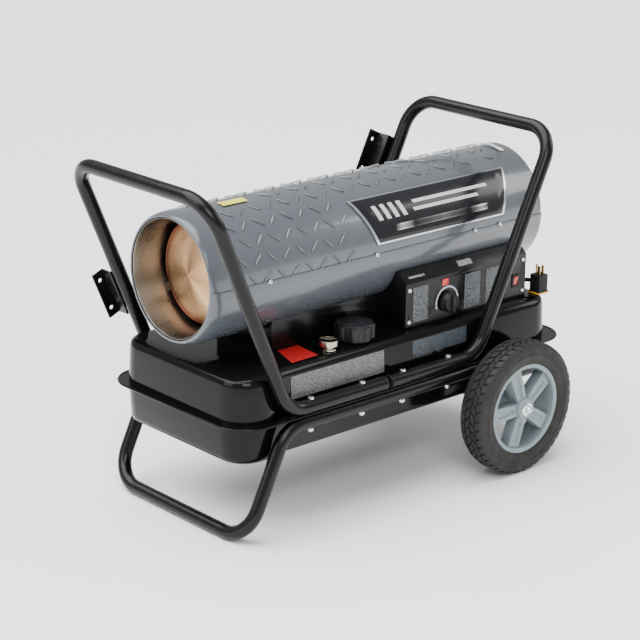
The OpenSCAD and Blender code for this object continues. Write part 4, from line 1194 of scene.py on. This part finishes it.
def make_tyre():
    """A tyre that stands on Z: a carcass with a raised ring on each wall, and rows of blocks."""
    w = HALF
    outer = [(RIM_R, -0.024), (0.0885, -0.0262), (0.092, -0.0275), (0.100, -w + 0.0005), (0.104, -w),
             (0.1045, -w + 0.0006), (0.1055, -w + 0.0006), (0.106, -w), (0.112, -w + 0.0003), (0.118, -w + 0.0016),
             (0.1215, -w + 0.0036), (0.1228, -w + 0.006), (0.1232, -w + 0.010)]
    profile = outer + [(r, -t) for r, t in reversed(outer)]
    carcass = lathe("tyre", [(r, MID + t) for r, t in profile] + [(RIM_R, MID - 0.024)], "Z", (0, 0, 0), steps=96)
    smooth(carcass, 40)
    blocks = []
    half = radians(360 / TREAD_COUNT) * 0.40
    for t0, width, phase, slant in TREAD_ROWS:
        deselect()
        bpy.ops.mesh.primitive_cube_add(size=1, location=(0, 0, 0))
        b = bpy.context.object
        for v in b.data.vertices:
            side = 1 if v.co.y > 0 else -1
            up = v.co.z > 0
            top = v.co.x > 0
            height = t0 + (width if up else 0)
            outer_r = 0.1242 if abs(height) > 0.018 else 0.1268
            r = outer_r if top else 0.1215
            a = half * side * (0.92 if top else 1) + radians(slant) * 0.12 * (1 if up else -1)
            v.co = (r * cos(a), r * sin(a), MID + height)
        soften(b, 0.0007, 1, 30)
        turns = [Matrix.Rotation(2 * pi * (i + phase) / TREAD_COUNT, 4, "Z") for i in range(TREAD_COUNT)]
        blocks.append(ring_of(b, turns, "tread"))
    return join("tyre", [carcass] + blocks)


class HEATER_OT_wheels(bpy.types.Operator):
    """Makes the axle, the spoked rims and the block-tread tyres"""

    bl_idname = "heater.wheels"
    bl_label = "Wheels"

    def execute(self, context):
        rim, tyre = make_rim(), make_tyre()
        for side, word in ((-1, "left"), (1, "right")):
            for piece, slot_name, kind in ((rim, "rim_plastic", "rim"), (tyre, "tyre", "tyre")):
                c = twin(piece)
                c.data.transform(wheel_turn(side) @ Matrix.Rotation(radians(RIM_REST_TURN), 4, "Z"))
                named(c, f"wheel_{kind}_{word}")
                finish(c, mat(kind), f"{kind}_{word}", f"wheel_{word}")
        bpy.data.objects.remove(rim)
        bpy.data.objects.remove(tyre)
        refined("axle", "axle_rod", mat("zinc"), 0.0005)
        refined("axle_washers", "axle_washer_pair", mat("zinc"), 0.0004)
        nut = lathe("axle_nut", [(0, 0.0118), (0.0030, 0.0112), (0.0054, 0.0094), (0.0068, 0.0066), (0.0072, 0.0052),
                                 (0.0072, 0.0020), (0.0120, 0.0018), (0.0130, 0.0009), (0.0130, 0.0), (0.0082, 0.0),
                                 (0.0082, -0.0005), (0, -0.0005)], "Z", (0, 0, 0), steps=32)
        collar = cylinder("axle_nut", 0.0090, 0.0036, (0, 0, 0.0036), vertices=6)
        soften(collar, 0.0006)
        nut = join("axle_nut", [nut, collar])
        smooth(nut, 40)
        spots = [wheel_turn(s) @ Matrix.Translation((0, 0, NUT_AT)) for s in (-1, 1)]
        nuts = ring_of(nut, spots, "axle_cap_nuts")
        finish(nuts, mat("chrome"), "axle_caps")
        return {"FINISHED"}


# ---------- panel and registration ----------

OPERATORS = (HEATER_OT_stage, HEATER_OT_lead, HEATER_OT_shells, HEATER_OT_badge, HEATER_OT_fire_end, HEATER_OT_fan_end,
             HEATER_OT_tank, HEATER_OT_filler, HEATER_OT_frame, HEATER_OT_controls, HEATER_OT_wheels)


class HEATER_PT_pieces(bpy.types.Panel):
    """Lists the pieces in the sidebar"""

    bl_idname = "HEATER_PT_pieces"
    bl_label = "Heater"
    bl_space_type = "VIEW_3D"
    bl_region_type = "UI"
    bl_category = "Heater"

    def draw(self, context):
        for setting in ("lens", "key_power", "sky_strength"):
            self.layout.prop(context.scene.heater_stage, setting)
        for op in OPERATORS:
            self.layout.operator(op.bl_idname)


CLASSES = (StageSettings, *OPERATORS, HEATER_PT_pieces)


def register():
    for c in CLASSES:
        bpy.utils.register_class(c)
    bpy.types.Scene.heater_stage = bpy.props.PointerProperty(type=StageSettings)


def unregister():
    del bpy.types.Scene.heater_stage
    for c in reversed(CLASSES):
        bpy.utils.unregister_class(c)


def main():
    register()
    for op in OPERATORS:
        group, name = op.bl_idname.split(".")
        getattr(getattr(bpy.ops, group), name)()
    deselect()


if __name__ == "__main__":
    main()
